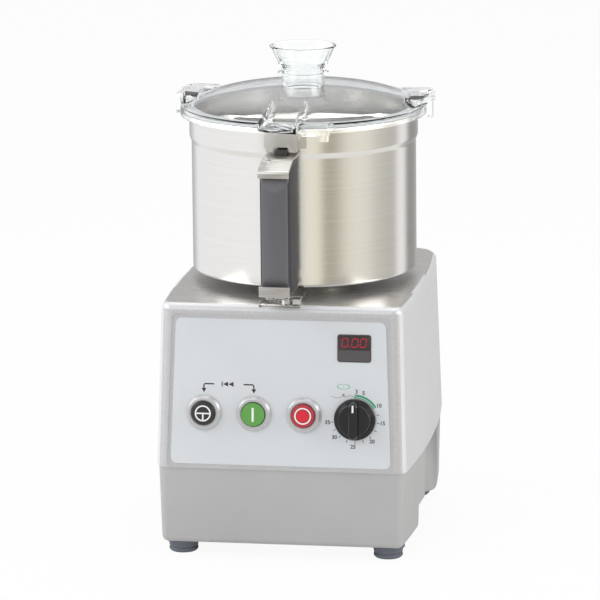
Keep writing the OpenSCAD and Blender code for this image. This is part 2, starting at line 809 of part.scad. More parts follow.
module stator_windings() color([0.72, 0.42, 0.2]) at_shaft() for (z = [core_bottom - winding_h, core_top])
    translate([0, 0, z]) ring(core_bore_r + winding_gap + winding_wall, core_bore_r + winding_gap,
        winding_h);
module motor_bolts() color([0.7, 0.7, 0.72]) at_shaft() for (a = [45 : 90 : 315]) rotate(a)
    translate([motor_bolt_pcr, 0, bell_top_z - bell_t]) {
        translate([0, 0, -2 * motor_bolt_r]) cylinder(r = 5 / 3 * motor_bolt_r, h = 2 * motor_bolt_r);
        cylinder(r = motor_bolt_r, h = bell_t + deck_t - over);
    }

module motor_shaft() color([0.75, 0.75, 0.78]) at_shaft() difference() {
    translate([0, 0, shaft_bottom]) cylinder(r = shaft_r, h = shaft_top - shaft_bottom);
    translate([0, 0, pin_z]) rotate([0, 90, 0]) cylinder(r = pin_r, h = 3 * shaft_r, center = true);
}
module drive_pin() color([0.6, 0.6, 0.62]) at_shaft() translate([0, 0, pin_z]) rotate([0, 90, 0])
    cylinder(r = pin_r, h = 2 * pin_half, center = true);
module rotor_core() color([0.45, 0.45, 0.48]) at_shaft() translate([0, 0, core_bottom])
    ring(core_bore_r - air_gap, shaft_r, core_h);
module cooling_fan() color([0.2, 0.2, 0.22]) at_shaft() translate([0, 0, fan_z]) {
    ring(2 * shaft_r, shaft_r, fan_h);
    ring(fan_r, shaft_r + over, chassis_t);
    for (i = [0 : fan_blades - 1]) rotate(i * 360 / fan_blades) translate([2 * shaft_r - over, 0, 0])
        cube([fan_r - 2 * shaft_r, chassis_t, fan_h]);
}

module cutter_hub() color([0.72, 0.73, 0.75]) at_shaft() difference() {
    union() {
        translate([0, 0, hub_bottom]) cylinder(r = hub_lip_r, h = hub_lip_h);
        translate([0, 0, hub_bottom]) cylinder(r = hub_out_r, h = hub_ceiling - hub_bottom);
        translate([0, 0, hub_ceiling]) cylinder(r1 = hub_out_r, r2 = hub_top_r, h = hub_bore_h);
    }
    translate([0, 0, hub_bottom - over]) cylinder(r = hub_in_r, h = hub_ceiling - hub_bottom + over);
    translate([0, 0, hub_ceiling - over]) cylinder(r = shaft_r + run, h = hub_bore_h + 2 * over);
    translate([-pin_half - clear, -pin_r - clear, hub_ceiling - over])
        cube([2 * (pin_half + clear), 2 * (pin_r + clear), pin_z + pin_r + clear - hub_ceiling + over]);
}

// One sabre blade: a crescent with a ground bevel along its leading edge, and its clamping ring
module blade() difference() {
    union() {
        intersection() {
            cylinder(r = blade_r, h = blade_t);
            translate([blade_back_x_share * blade_r, 0, 0]) rotate_extrude()
                polygon([[0, 0], [blade_back_r_share * blade_r, 0],
                    [blade_back_r_share * blade_r - bevel_w, blade_t], [0, blade_t]]);
            translate([0, -over - hub_out_r, 0]) cube([2 * blade_r, 2 * blade_r, blade_t]);
            difference() {
                cylinder(r = blade_r, h = blade_t);
                translate([blade_edge_x_share * blade_r, blade_edge_y_share * blade_r, -over])
                    cylinder(r = blade_edge_r_share * blade_r, h = blade_t + 2 * over);
            }
        }
        cylinder(r = hub_lip_r, h = blade_t);
    }
    translate([0, 0, -over]) cylinder(r = hub_out_r + fit, h = blade_t + 2 * over);
}
module lower_blade() color([0.8, 0.81, 0.83]) at_shaft() translate([0, 0, lower_blade_z]) blade();
module upper_blade() color([0.8, 0.81, 0.83]) at_shaft() translate([0, 0, upper_blade_z]) rotate(180)
    blade();
module blade_spacer() color([0.7, 0.7, 0.72]) at_shaft() translate([0, 0, lower_blade_z + blade_t])
    ring(hub_lip_r, hub_out_r + fit, blade_step - blade_t);
module blade_nut() color([0.7, 0.7, 0.72]) at_shaft() translate([0, 0, upper_blade_z + blade_t])
    ring(hub_lip_r, hub_out_r + fit, nut_h);
module cutter_cap() color([0.15, 0.15, 0.16]) at_shaft() translate([0, 0, hub_top]) rotate_extrude()
    polygon([[0, 0], [hub_top_r, 0], [hub_top_r, cap_h / 2], [hub_top_r - cap_h / 5, cap_h - over],
        [hub_top_r / 2, cap_h], [0, cap_h]]);

module seat_ring() color([0.9, 0.9, 0.88]) at_shaft() translate([0, 0, deck_z + boss_h])
    ring(hub_flange_r - over, tube_r + tube_wall + over, seat_ring_t);

// Bowl wall as an (r, z) outline: out along the bottom, round the corner, up, out at the band
function bowl_outline(t) = [[tube_r + tube_wall, t], for (a = [-90 : 15 : 0])
    [bowl_r - bowl_corner_r + (bowl_corner_r - t) * cos(a), bowl_corner_r + (bowl_corner_r - t) * sin(a)],
    [bowl_r - t, bowl_h - band_h - band_rise], [bowl_r + band_out - t, bowl_h - band_h],
        [bowl_r + band_out - t, bowl_h + (t > 0 ? over : 0)]];
module bowl_shell() color([0.78, 0.77, 0.74]) at_shaft() translate([0, 0, bowl_z]) rotate_extrude() {
    difference() {
        polygon(concat(bowl_outline(0), [[tube_r + tube_wall, bowl_h]]));
        polygon(concat(bowl_outline(bowl_wall), [[0, bowl_h + over], [0, bowl_wall]]));
    }
    translate([bowl_r + band_out, bowl_h - rim_roll_r]) circle(r = rim_roll_r, $fn = hull_fn);
}

module bowl_hub() color([0.74, 0.75, 0.77]) at_shaft() {
    translate([0, 0, bowl_z - hub_flange_t]) ring(hub_flange_r, tube_r, hub_flange_t);
    translate([0, 0, bowl_z - hub_flange_t]) ring(tube_r + tube_wall, tube_r,
        tube_top - bowl_z + hub_flange_t);
}

module outside_bowl(r) difference() {
    children();
    translate([0, 0, bowl_z - bowl_h]) cylinder(r = r, h = 3 * bowl_h);
}

// Hat-shaped channel welded to the bowl under its rim, with its face standing higher
module handle_channel() color([0.7, 0.7, 0.68]) at_shaft() outside_bowl(bowl_r + band_out) {
    difference() {
        translate([-handle_w / 2, -channel_y, channel_z])
            cube([handle_w, sheet, channel_face_top - channel_z]);
        translate([-tongue_half - 2 * clear, -channel_y - over, channel_z - over])
            cube([2 * (tongue_half + 2 * clear), sheet + 2 * over,
                tongue_top + rod_travel + 2 * clear - channel_z + over]);
    }
    both_sides() translate([handle_w / 2 - sheet, -channel_y, channel_z])
        cube([sheet, channel_y - bowl_r + sheet, channel_top - channel_z]);
    both_sides() intersection() {
        translate([handle_w / 2 - sheet, -bowl_r - band_out - sheet, channel_z])
            cube([sheet + wing_w, bowl_r, channel_top - channel_z]);
        translate([0, 0, channel_z]) cylinder(r = bowl_r + band_out + sheet / 2,
            h = channel_top - channel_z);
    }
}

// Side profile of the top strap: flat, then bent down over the front of the grip
module top_strap_profile() {
    translate([bowl_r - over, strap_top - strap_t])
        square([handle_reach - strap_bend_r - bowl_r + over, strap_t]);
    translate([handle_reach - strap_bend_r, strap_top - strap_bend_r]) intersection() {
        difference() {
            circle(r = strap_bend_r);
            circle(r = strap_bend_r - strap_t);
        }
        square([strap_bend_r, strap_bend_r]);
    }
    translate([handle_reach - strap_t, strap_top - strap_bend_r - strap_lip / 2])
        square([strap_t, strap_lip / 2]);
}
module handle_top_strap() color([0.72, 0.71, 0.68]) at_shaft() difference() {
    outside_bowl(bowl_r + band_out) across(handle_w) top_strap_profile();
    translate([-strap_notch_half, -strap_notch_y, strap_top - strap_bend_r])
        cube([2 * strap_notch_half, strap_notch_y, strap_bend_r + over]);
    translate([tie_x, -tie_y, strap_top - strap_bend_r])
        cylinder(r = tie_r + fit, h = strap_bend_r + over);
}

module handle_foot_strap() color([0.74, 0.73, 0.7]) at_shaft() difference() {
    union() {
        outside_bowl(bowl_r) across(handle_w) {
            translate([bowl_r - over, foot_strap_z]) square([handle_reach - bowl_r + over, foot_strap_t]);
            translate([handle_reach - strap_t, foot_strap_z]) square([strap_t, foot_strap_lip]);
        }
        across(hook_w, lock_hook_x + hook_w / 2)
            polygon([[lock_hook_y, foot_strap_z + over], [lock_hook_y, foot_strap_z - over],
            [lock_hook_y - lock_hook_h, foot_strap_z - lock_hook_h],
                [lock_hook_y - lock_hook_h - lock_hook_t, foot_strap_z - lock_hook_h],
            [lock_hook_y - lock_hook_h - lock_hook_t, foot_strap_z + over]]);
    }
    translate([0, -rod_y, foot_strap_z - over]) cylinder(r = rod_r + clear, h = foot_strap_t + 2 * over);
    translate([tie_x, -tie_y, foot_strap_z - over]) cylinder(r = tie_r + fit, h = foot_strap_t + 2 * over);
}

module handle_grip() color([0.36, 0.36, 0.38]) at_shaft() difference() {
    union() {
        translate([0, -grip_front + grip_d / 2, grip_bottom])
            linear_extrude(grip_top - grip_bottom - strap_bend_r + strap_t)
            rounded_rect(handle_w, grip_d, grip_r);
        intersection() {
            translate([0, -grip_front + grip_d / 2, grip_bottom]) linear_extrude(grip_top - grip_bottom)
                rounded_rect(handle_w, grip_d, grip_r);
            across(handle_w) {
                square([handle_reach - strap_bend_r, grip_top]);
                translate([handle_reach - strap_bend_r, strap_top - strap_bend_r])
                    circle(r = strap_bend_r - strap_t - fit);
            }
        }
        across(handle_w - 2 * sheet) polygon([[grip_front - grip_d + grip_r, grip_top - grip_flare_h],
            [grip_front - grip_d + grip_r, grip_top],
            [grip_front - grip_d - grip_flare_d + grip_r, grip_top],
                [grip_front - grip_d - grip_flare_d + grip_r, grip_top - sheet]]);
    }
    translate([0, -rod_y, grip_bottom - over]) cylinder(r = rod_r + clear, h = grip_top);
    translate([-arm_half - clear, -rod_y - rod_r - clear, grip_top - arm_drop - arm_h])
        cube([2 * (arm_half + clear), rod_y + rod_r + clear - strap_notch_y + arm_drop,
            arm_h + 2 * arm_drop]);
    translate([-tongue_half - clear, -strap_notch_y, grip_top - arm_drop - arm_h])
        cube([2 * (tongue_half + clear), strap_notch_y, 3 * arm_drop]);
    translate([tie_x, -tie_y, grip_bottom - over]) cylinder(r = tie_r + fit, h = grip_top);
    scallop_sphere_r = scallop_r * scallop_r / (2 * scallop_sink);
    for (z = [grip_top - strap_bend_r, grip_bottom + foot_strap_lip / 2])
        translate([0, -grip_front - scallop_sphere_r + scallop_sink, z]) sphere(r = scallop_sphere_r);
}

module grip_bolt() color([0.8, 0.8, 0.8]) at_shaft() translate([tie_x, -tie_y, 0]) {
    translate([0, 0, foot_strap_z - grip_nut_h]) cylinder(r = nut_r, h = grip_nut_h, $fn = 6);
    translate([0, 0, foot_strap_z - grip_nut_h - over]) cylinder(r = nut_r - over, h = over + over);
    translate([0, 0, foot_strap_z - over]) cylinder(r = tie_r, h = strap_top - foot_strap_z + over);
}

module safety_rod() color([0.2, 0.2, 0.21]) at_shaft() {
    translate([0, -rod_head_y, channel_z + over])
        cylinder(r = rod_head_r, h = rod_head_top - channel_z - over);
    translate([-tongue_half, -strap_notch_y + clear, strap_top - strap_t])
        cube([2 * tongue_half, strap_notch_y - clear - rod_head_y + rod_head_r,
            tongue_top - strap_top + strap_t]);
    translate([-arm_half, -strap_notch_y + clear, grip_top - arm_drop])
        cube([2 * arm_half, 2 * arm_half, arm_drop + strap_t]);
    translate([-arm_half, -rod_y, grip_top - arm_drop])
        cube([2 * arm_half, rod_y - strap_notch_y + 2 * arm_half, arm_h]);
    translate([0, -rod_y, rod_tip]) cylinder(r = rod_r, h = grip_top - arm_drop + arm_h - rod_tip);
    translate([-arm_half, -rod_y - rod_r, rod_tip])
        cube([3 * arm_half, rod_y + rod_r - plunger_y + 2 * rod_r, rod_foot_h]);
}

module lock_catch() color([0.78, 0.78, 0.76]) at_shaft() difference() {
    translate([0, 0, deck_z - slot_depth]) {
        translate([slot_x0 + clear, -front_reach + front_draft + deck_edge_r, 0])
            cube([slot_x1 - slot_x0 - 2 * clear,
                front_reach - front_draft - deck_edge_r - slot_from_y - clear, catch_t]);
        translate([slot_x1 - clear - catch_t, -front_reach + front_draft + deck_edge_r, 0])
            cube([catch_t, front_reach - front_draft - deck_edge_r - slot_from_y - clear,
                catch_rail_h + catch_t]);
        translate([slot_x1 - clear - catch_t - catch_box_w, -plunger_y - catch_box_d / 2, 0])
            cube([catch_box_w, catch_box_d, catch_box_h]);
        translate([plunger_x, -plunger_y, 0]) cylinder(r = plunger_guide_r, h = catch_box_h - catch_t);
    }
    translate([plunger_x, -plunger_y, deck_under])
        cylinder(r = plunger_r + clear, h = deck_t + catch_box_h);
}

module switch_plunger() color([0.75, 0.15, 0.12]) at_shaft()
    translate([plunger_x, -plunger_y, deck_under - switch_h / 4])
        cylinder(r = plunger_r, h = plunger_top - deck_under + switch_h / 4);

module safety_switch() color([0.12, 0.12, 0.13]) at_shaft() difference() {
    translate([plunger_x - switch_w / 2, -plunger_y - switch_w / 3, deck_under - switch_h])
        cube([switch_w, switch_d, switch_h]);
    translate([plunger_x, -plunger_y, deck_under - switch_h / 2])
        cylinder(r = plunger_r + clear, h = switch_h);
}

module lid_seal() color([0.75, 0.76, 0.76]) at_shaft() translate([0, 0, rim_z + fit])
    ring(bowl_r + band_out + rim_roll_r, bowl_r + band_out + rim_roll_r - seal_w, seal_t);

// Height of the dome above the lid's rim at a share of its radius
function dome_at(s) = dome_h * (1 - pow(s, dome_power));
function dome_curve(t) = [for (i = [0 : dome_steps]) let (s = pow(i / dome_steps, 0.7))
    [(dome_foot_r - t) * s, lid_top - t + dome_at(s)]];

module lid_ear() {
    ear = [for (a = [ear_from + 2 : 6 : ear_to]) [ear_in_r * cos(a), ear_in_r * sin(a)]];
    rim = [[ear_out_r * cos(ear_to - 4), ear_out_r * sin(ear_to - 4)],
        [ear_out_r * cos((ear_bend + ear_to) / 2), ear_out_r * sin((ear_bend + ear_to) / 2)],
        [ear_out_r * cos(ear_bend), ear_out_r * sin(ear_bend)],
            [ear_near_r * cos(ear_from), ear_near_r * sin(ear_from)]];
    difference() {
        translate([0, 0, lid_top - over]) linear_extrude(ear_top - lid_top + over)
            polygon(concat(ear, rim));
        translate([0, 0, lid_top - 2 * over]) linear_extrude(ear_top - lid_top - ear_wall + 2 * over)
            offset(delta = -ear_wall) polygon(concat(ear, rim));
    }
    translate([0, 0, hook_z]) rotate(hook_from) rotate_extrude(angle = hook_sweep)
        translate([hook_in_r, 0]) square([ear_out_r - hook_in_r - ear_wall,
            ear_top - hook_z - ear_wall + over]);
}

// Front clip: two fins and a floor whose underside is the ramp that presses the safety rod
module lid_clip() {
    translate([0, -lid_r + lid_wall, 0]) rotate([90, 0, 0])
        linear_extrude(clip_reach - lid_r + lid_wall - sliver)
            polygon([[-clip_half_w, clip_z + ramp_rise], [clip_half_w, clip_z], [clip_half_w, clip_top],
                [-clip_half_w, clip_top]]);
    both_sides() translate([clip_half_w - fin_t / 2, 0, 0]) across(fin_t)
        polygon([[fin_rear_y, lid_top - over], [fin_rear_y, fin_rear_top],
            [fin_rear_y + fin_t, fin_rear_top + over], [clip_reach - fin_t, clip_z + fin_front_h],
            [clip_reach, clip_z + fin_front_h - over], [clip_reach, clip_z + ramp_rise],
            [lid_r, clip_z + ramp_rise], [lid_r, lid_top - over]]);
}

// Locking cam under the rim, beside the clip, with a lead-in at its far end
module lid_lug() {
    rotate(-90 + lug_from) rotate_extrude(angle = lug_sweep) translate([lug_in_r, lid_top - lug_drop])
        square([lug_out_r - lug_in_r, lug_drop - over]);
    rotate(-90 + lug_from + lug_sweep - lug_ramp_sweep)
        rotate_extrude(angle = lug_ramp_sweep - lug_inset_a)
        translate([lug_in_r + 2 * over, lid_top - lug_ramp_drop])
            square([lug_out_r - clear - lug_in_r - 2 * over, lug_ramp_drop - lug_drop + over]);
}

module lid_shell() color([0.85, 0.92, 0.92, 0.45]) at_shaft() difference() {
    union() {
        rotate_extrude() {
            polygon(concat(dome_curve(0), [[dome_foot_r, lid_z], [0, lid_z]]));
            translate([dome_foot_r - lid_wall, lid_z]) square([lid_r - dome_foot_r + lid_wall, lid_wall]);
            translate([lid_r - lid_skirt_t, lid_z - lid_skirt_h])
                square([lid_skirt_t, lid_skirt_h + lid_wall]);
        }
        translate([0, 0, lid_top]) cylinder(r = neck_r + neck_wall, h = neck_top - lid_top);
        translate([0, 0, neck_top - collar_t]) cylinder(r = collar_r, h = collar_t);
        lid_clip();
        lid_lug();
        both_sides() lid_ear();
    }
    rotate_extrude() polygon(concat(dome_curve(lid_wall), [[dome_foot_r - lid_wall, lid_z - over],
        [0, lid_z - over]]));
    translate([0, 0, lid_z]) cylinder(r = neck_r, h = neck_top);
}

module funnel() color([0.85, 0.92, 0.92, 0.45]) at_shaft() translate([0, 0, funnel_z]) rotate_extrude() {
    mouth = funnel_h - funnel_bead_r;
    waist = funnel_waist_h;
    spout_r = neck_r - clear;
    flange_r = neck_r + neck_wall;
    polygon([[spout_r - funnel_wall, -spout_len], [spout_r, -spout_len], [spout_r, 0], [flange_r, 0],
        [flange_r, funnel_flange_h],
        [flange_r + funnel_wall, waist], [funnel_ring_r, waist], [funnel_ring_r, waist + funnel_ring_h],
        [funnel_r - funnel_bead_r, mouth], [funnel_r - funnel_bead_r - funnel_wall, mouth],
        [funnel_ring_r - 2 * funnel_wall, waist + funnel_ring_h],
            [spout_r - funnel_wall, funnel_flange_h]]);
    translate([funnel_r - funnel_bead_r, mouth]) circle(r = funnel_bead_r, $fn = hull_fn);
}

upper_housing();
lower_skirt();
rubber_feet();
foot_screws();
chassis_plate();
control_panel();
display_window();
display_board();
pulse_bezel();
start_bezel();
stop_bezel();
contact_blocks();
potentiometer();
bowl_spigot();
shaft_seal();
upper_bell();
lower_bell();
upper_bearing();
lower_bearing();
stator_core();
stator_windings();
motor_bolts();
drive_board();
heat_sink();
capacitors();
terminal_block();
cable_gland();
lock_catch();
safety_switch();
motor_shaft();
rotor_core();
cooling_fan();
drive_pin();
cutter_hub();
lower_blade();
blade_spacer();
upper_blade();
blade_nut();
cutter_cap();
seat_ring();
bowl_shell();
bowl_hub();
handle_channel();
handle_top_strap();
handle_foot_strap();
handle_grip();
grip_bolt();
safety_rod();
switch_plunger();
lid_seal();
lid_shell();
funnel();
pulse_button();
start_button();
stop_button();
speed_knob();
knob_spindle();
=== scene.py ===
import json
import logging
import math
from dataclasses import dataclass, field
from enum import Enum
from typing import Sequence

import bmesh
import bpy
from mathutils import Matrix, Vector

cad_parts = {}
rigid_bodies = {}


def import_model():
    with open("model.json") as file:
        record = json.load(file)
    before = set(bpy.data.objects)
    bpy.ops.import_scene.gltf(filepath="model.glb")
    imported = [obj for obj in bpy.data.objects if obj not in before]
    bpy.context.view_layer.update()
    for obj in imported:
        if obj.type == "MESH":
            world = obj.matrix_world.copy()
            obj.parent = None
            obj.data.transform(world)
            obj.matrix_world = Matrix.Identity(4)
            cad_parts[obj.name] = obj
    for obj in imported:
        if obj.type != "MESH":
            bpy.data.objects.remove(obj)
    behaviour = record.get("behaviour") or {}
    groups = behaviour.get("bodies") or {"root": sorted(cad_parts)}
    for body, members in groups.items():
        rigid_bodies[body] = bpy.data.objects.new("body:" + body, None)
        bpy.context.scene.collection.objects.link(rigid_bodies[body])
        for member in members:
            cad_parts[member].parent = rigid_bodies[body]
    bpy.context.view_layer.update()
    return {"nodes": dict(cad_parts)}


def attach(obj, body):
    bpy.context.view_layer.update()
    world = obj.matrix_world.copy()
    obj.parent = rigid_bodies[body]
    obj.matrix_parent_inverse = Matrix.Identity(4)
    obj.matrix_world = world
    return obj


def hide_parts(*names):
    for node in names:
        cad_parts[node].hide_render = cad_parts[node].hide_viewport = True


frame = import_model()

LOG = logging.getLogger("cutter_mixer")
MM = 0.001
SHAFT_Y = 12.2
SHAFT = Matrix.Translation((0.0, SHAFT_Y, 0.0))
AS_DRAWN = Matrix.Identity(4)
# A Mix node has sockets for numbers, vectors and colours; these are the colours' places.
MIX_FIRST, MIX_SECOND, MIX_RESULT = 6, 7, 2

Point2 = tuple[float, float]
Colour = tuple[float, float, float]
Socket = bpy.types.NodeSocket
Tree = bpy.types.NodeTree
Mesh = bpy.types.Mesh
Object = bpy.types.Object


class Body(Enum):
    """The frame's rigid bodies that new pieces ride on."""

    BASE = "motor_base"
    CUTTER = "cutter"
    BOWL = "bowl"
    ROD = "rod"
    LID = "lid"
    FUNNEL = "feed_funnel"
    PULSE = "pulse"
    START = "start"
    STOP = "stop"
    SPEED = "speed"


class Grain(Enum):
    """Direction of the fine lines on brushed metal, as a stretch of the noise along X, Y and Z."""

    ROUND = (3.0, 3.0, 2300.0)
    ACROSS = (25.0, 1500.0, 1500.0)
    ALONG = (1500.0, 25.0, 1500.0)


class NodeSheet:
    """A material's node tree, with short ways to add the nodes that the finishes share.

    SPAN is the middle part of a noise's range, which is all that the finishes use.
    """

    SPAN = (0.3, 0.7)

    def __init__(self, name: str) -> None:
        """Starts a material of that name with one Principled shader."""
        self.material = bpy.data.materials.new(name)
        self.material.use_nodes = True
        self.tree = self.material.node_tree
        self.shader = self.tree.nodes["Principled BSDF"]
        self.place = self.tree.nodes.new("ShaderNodeTexCoord").outputs["Object"]

    def set(self, **values: object) -> None:
        """Sets the shader's own sockets; an underscore in a name stands for a space."""
        for name, value in values.items():
            socket = self.shader.inputs[name.replace("_", " ")]
            socket.default_value = (*value, 1.0) if isinstance(value, tuple) and len(value) == 3 else value

    def join(self, source: Socket, target: Socket) -> None:
        """Links two sockets."""
        self.tree.links.new(source, target)

    def noise(self, scale: float, detail: float = 3.0,
              stretch: Sequence[float] = (1.0, 1.0, 1.0)) -> Socket:
        """Adds noise on Object coordinates.

        Args:
            scale: waves per metre before the stretch.
            detail: octaves.
            stretch: factors along X, Y and Z.
        Returns:
            The noise's factor socket.
        """
        mapping = self.tree.nodes.new("ShaderNodeMapping")
        mapping.inputs["Scale"].default_value = tuple(stretch)
        self.join(self.place, mapping.inputs["Vector"])
        noise = self.tree.nodes.new("ShaderNodeTexNoise")
        noise.inputs["Scale"].default_value = scale
        noise.inputs["Detail"].default_value = detail
        self.join(mapping.outputs["Vector"], noise.inputs["Vector"])
        return noise.outputs["Fac"]

    def gloss(self, source: Socket, low: float, high: float) -> None:
        """Lets the roughness wander from low to high with a noise."""
        node = self.tree.nodes.new("ShaderNodeMapRange")
        for name, value in zip(("From Min", "From Max", "To Min", "To Max"), (*self.SPAN, low, high)):
            node.inputs[name].default_value = value
        self.join(source, node.inputs["Value"])
        self.join(node.outputs["Result"], self.shader.inputs["Roughness"])

    def blend(self, factor: Socket, low: Colour, high: Colour) -> Socket:
        """Mixes two colours by a factor socket, and returns the colour socket."""
        ramp = self.tree.nodes.new("ShaderNodeValToRGB")
        for element, position, colour in zip(ramp.color_ramp.elements, self.SPAN, (low, high)):
            element.position = position
            element.color = (*colour, 1.0)
        self.join(factor, ramp.inputs["Fac"])
        return ramp.outputs["Color"]

    def bump(self, height: Socket, depth: float, strength: float = 1.0) -> None:
        """Adds relief of that depth in metres to the shader's normal, on top of any earlier relief."""
        node = self.tree.nodes.new("ShaderNodeBump")
        node.inputs["Distance"].default_value = depth
        node.inputs["Strength"].default_value = strength
        self.join(height, node.inputs["Height"])
        before = self.shader.inputs["Normal"].links
        if before:
            self.join(before[0].from_socket, node.inputs["Normal"])
        self.join(node.outputs["Normal"], self.shader.inputs["Normal"])


@dataclass(frozen=True)
class Finish:
    """What every finish has: its name, its slot in the record, and its colour."""

    name: str
    slot: str
    colour: Colour
    rough: float = 0.4
    change: float = 0.04
    shade_scale: float = 14.0

    def shades(self) -> tuple[Colour, Colour]:
        """Returns the darker and the lighter shade that the surface wanders between."""
        low = tuple(max(0.0, c * (1.0 - self.change)) for c in self.colour)
        high = tuple(min(1.0, c * (1.0 + self.change)) for c in self.colour)
        return low, high

    def sheet(self) -> NodeSheet:
        """Starts the finish's material with its slow change of shade."""
        sheet = NodeSheet(f"{self.name}_finish")
        shade = sheet.blend(sheet.noise(self.shade_scale), *self.shades())
        sheet.join(shade, sheet.shader.inputs["Base Color"])
        return sheet

    def material(self) -> bpy.types.Material:
        """Returns the finish's material, made on its first use."""
        found = bpy.data.materials.get(f"{self.name}_finish")
        return found or self.make()

    def make(self) -> bpy.types.Material:
        """Makes the material; each kind of finish adds its own relief and gloss."""
        raise NotImplementedError


@dataclass(frozen=True)
class Moulded(Finish):
    """Moulded plastic, rubber or enamel: fine grain, with a clear coat where it is glossy."""

    grain: float = 1400.0
    depth: float = 0.00002
    metal: float = 0.0
    coat: float = 0.0
    shine: float = 0.5

    def make(self) -> bpy.types.Material:
        """Adds grain and uneven gloss to the shade."""
        sheet = self.sheet()
        sheet.set(Metallic=self.metal, Coat_Weight=self.coat, Coat_Roughness=0.12,
                  Specular_IOR_Level=self.shine)
        sheet.gloss(sheet.noise(60.0, 5.0), self.rough * 0.9, self.rough * 1.12)
        sheet.bump(sheet.noise(self.grain, 2.0), self.depth)
        sheet.bump(sheet.noise(self.grain / 9.0, 2.0), self.depth * 2.0, 0.5)
        return sheet.material


@dataclass(frozen=True)
class Brushed(Finish):
    """Metal with fine lines along one direction."""

    grain: Grain = Grain.ROUND
    depth: float = 0.000012
    metal: float = 1.0

    def make(self) -> bpy.types.Material:
        """Adds lines to the colour, the gloss and the relief."""
        sheet = NodeSheet(f"{self.name}_finish")
        sheet.set(Metallic=self.metal)
        lines = sheet.noise(1.0, 4.0, self.grain.value)
        sheet.gloss(lines, self.rough * 0.8, self.rough * 1.25)
        sheet.join(sheet.blend(lines, *self.shades()), sheet.shader.inputs["Base Color"])
        sheet.bump(lines, self.depth)
        return sheet.material


@dataclass(frozen=True)
class Clear(Finish):
    """Clear moulded plastic with a faint tint and a few flow marks."""

    ior: float = 1.13
    skin: float = 0.7
    skin_rough: float = 0.02
    flow_scale: float = 30.0
    flow_depth: float = 0.000012

    def make(self) -> bpy.types.Material:
        """Makes the shader transmit, with a very shallow waviness."""
        sheet = self.sheet()
        sheet.set(Transmission_Weight=1.0, IOR=self.ior, Metallic=0.0, Coat_Weight=self.skin,
                  Coat_Roughness=self.skin_rough)
        sheet.gloss(sheet.noise(40.0), self.rough * 0.6, self.rough * 1.6)
        sheet.bump(sheet.noise(self.flow_scale, 2.0), self.flow_depth)
        return sheet.material


@dataclass(frozen=True)
class Glow(Finish):
    """Lit segments of a display."""

    strength: float = 1.0

    def make(self) -> bpy.types.Material:
        """Adds emission in the finish's own colour."""
        sheet = self.sheet()
        sheet.set(Emission_Color=self.colour, Emission_Strength=self.strength, Roughness=self.rough)
        return sheet.material


@dataclass(frozen=True)
class Wound(Finish):
    """Enamelled wire lying side by side."""

    metal: float = 0.8
    coat: float = 0.4
    wires: float = 260.0
    waver: float = 1.5
    ridge: float = 0.0004

    def make(self) -> bpy.types.Material:
        """Adds the ridges of single wires as relief."""
        sheet = self.sheet()
        sheet.set(Metallic=self.metal, Coat_Weight=self.coat, Roughness=self.rough)
        wave = sheet.tree.nodes.new("ShaderNodeTexWave")
        wave.wave_type = "RINGS"
        wave.rings_direction = "Z"
        wave.inputs["Scale"].default_value = self.wires
        wave.inputs["Distortion"].default_value = self.waver
        sheet.join(sheet.place, wave.inputs["Vector"])
        sheet.bump(wave.outputs["Fac"], self.ridge)
        return sheet.material


ENAMEL = Moulded("housing_enamel", "housing_grey", (0.8, 0.805, 0.82), 0.34, 0.02, metal=0.2, coat=0.25,
                 depth=0.000012)
CAST_FRONT = Moulded("cast_front", "housing_grey", (0.6, 0.6, 0.615), 0.4, 0.07, 700.0, 700.0, 0.00012,
                     0.5)
DECK = Brushed("brushed_deck", "housing_grey", (0.6, 0.585, 0.565), 0.3, 0.06, grain=Grain.ACROSS,
               metal=0.8)
SKIRT_PLASTIC = Moulded("skirt_plastic", "skirt_grey", (0.475, 0.475, 0.475), 0.5, 0.03, grain=1100.0,
                        depth=0.00003)
FOOT_RUBBER = Moulded("foot_rubber", "foot_rubber", (0.15, 0.16, 0.195), 0.62, 0.12, depth=0.00003)
LABEL = Moulded("label_film", "label_grey", (0.7, 0.725, 0.75), 0.36, 0.02, grain=2200.0, depth=0.000006)
INK_DARK = Moulded("ink_dark", "black_plastic", (0.03, 0.03, 0.035), 0.5, 0.3)
INK_GREEN = Moulded("ink_green", "green_cap", (0.02, 0.33, 0.17), 0.45, 0.1)
INK_PALE_GREEN = Moulded("ink_pale_green", "green_cap", (0.12, 0.5, 0.36), 0.45, 0.1)
INK_GREY = Moulded("ink_grey", "bezel_grey", (0.3, 0.3, 0.32), 0.45, 0.1)
INK_WHITE = Moulded("ink_white", "label_grey", (0.9, 0.9, 0.9), 0.4, 0.03)
BEZEL = Moulded("bezel_satin", "bezel_grey", (0.58, 0.58, 0.59), 0.3, 0.03, metal=0.45, coat=0.2)
BLACK_CAP = Moulded("black_cap", "black_plastic", (0.022, 0.022, 0.024), 0.3, 0.2, coat=0.3)
BLACK_GLOSS = Moulded("black_gloss", "black_plastic", (0.006, 0.0055, 0.006), 0.14, 0.3, coat=0.25,
                      depth=0.000004)
BLACK_MATTE = Moulded("black_matte", "black_plastic", (0.03, 0.028, 0.028), 0.5, 0.2)
GREEN_CAP = Moulded("green_cap", "green_cap", (0.12, 0.38, 0.07), 0.34, 0.06, coat=0.2)
RED_RING = Moulded("red_ring", "red_cap", (0.47, 0.025, 0.04), 0.36, 0.08, coat=0.2)
RED_DISC = Moulded("red_disc", "red_cap", (0.72, 0.01, 0.03), 0.34, 0.05, coat=0.2)
DISPLAY_TINT = Moulded("display_tint", "display_tint", (0.02, 0.007, 0.009), 0.12, 0.2, coat=0.8,
                       depth=0.000002)
DISPLAY_GREY = Moulded("display_grey", "display_tint", (0.09, 0.08, 0.085), 0.4, 0.1)
DIGIT_RED = Glow("digit_red", "red_cap", (0.42, 0.012, 0.035), 0.4, strength=0.2)
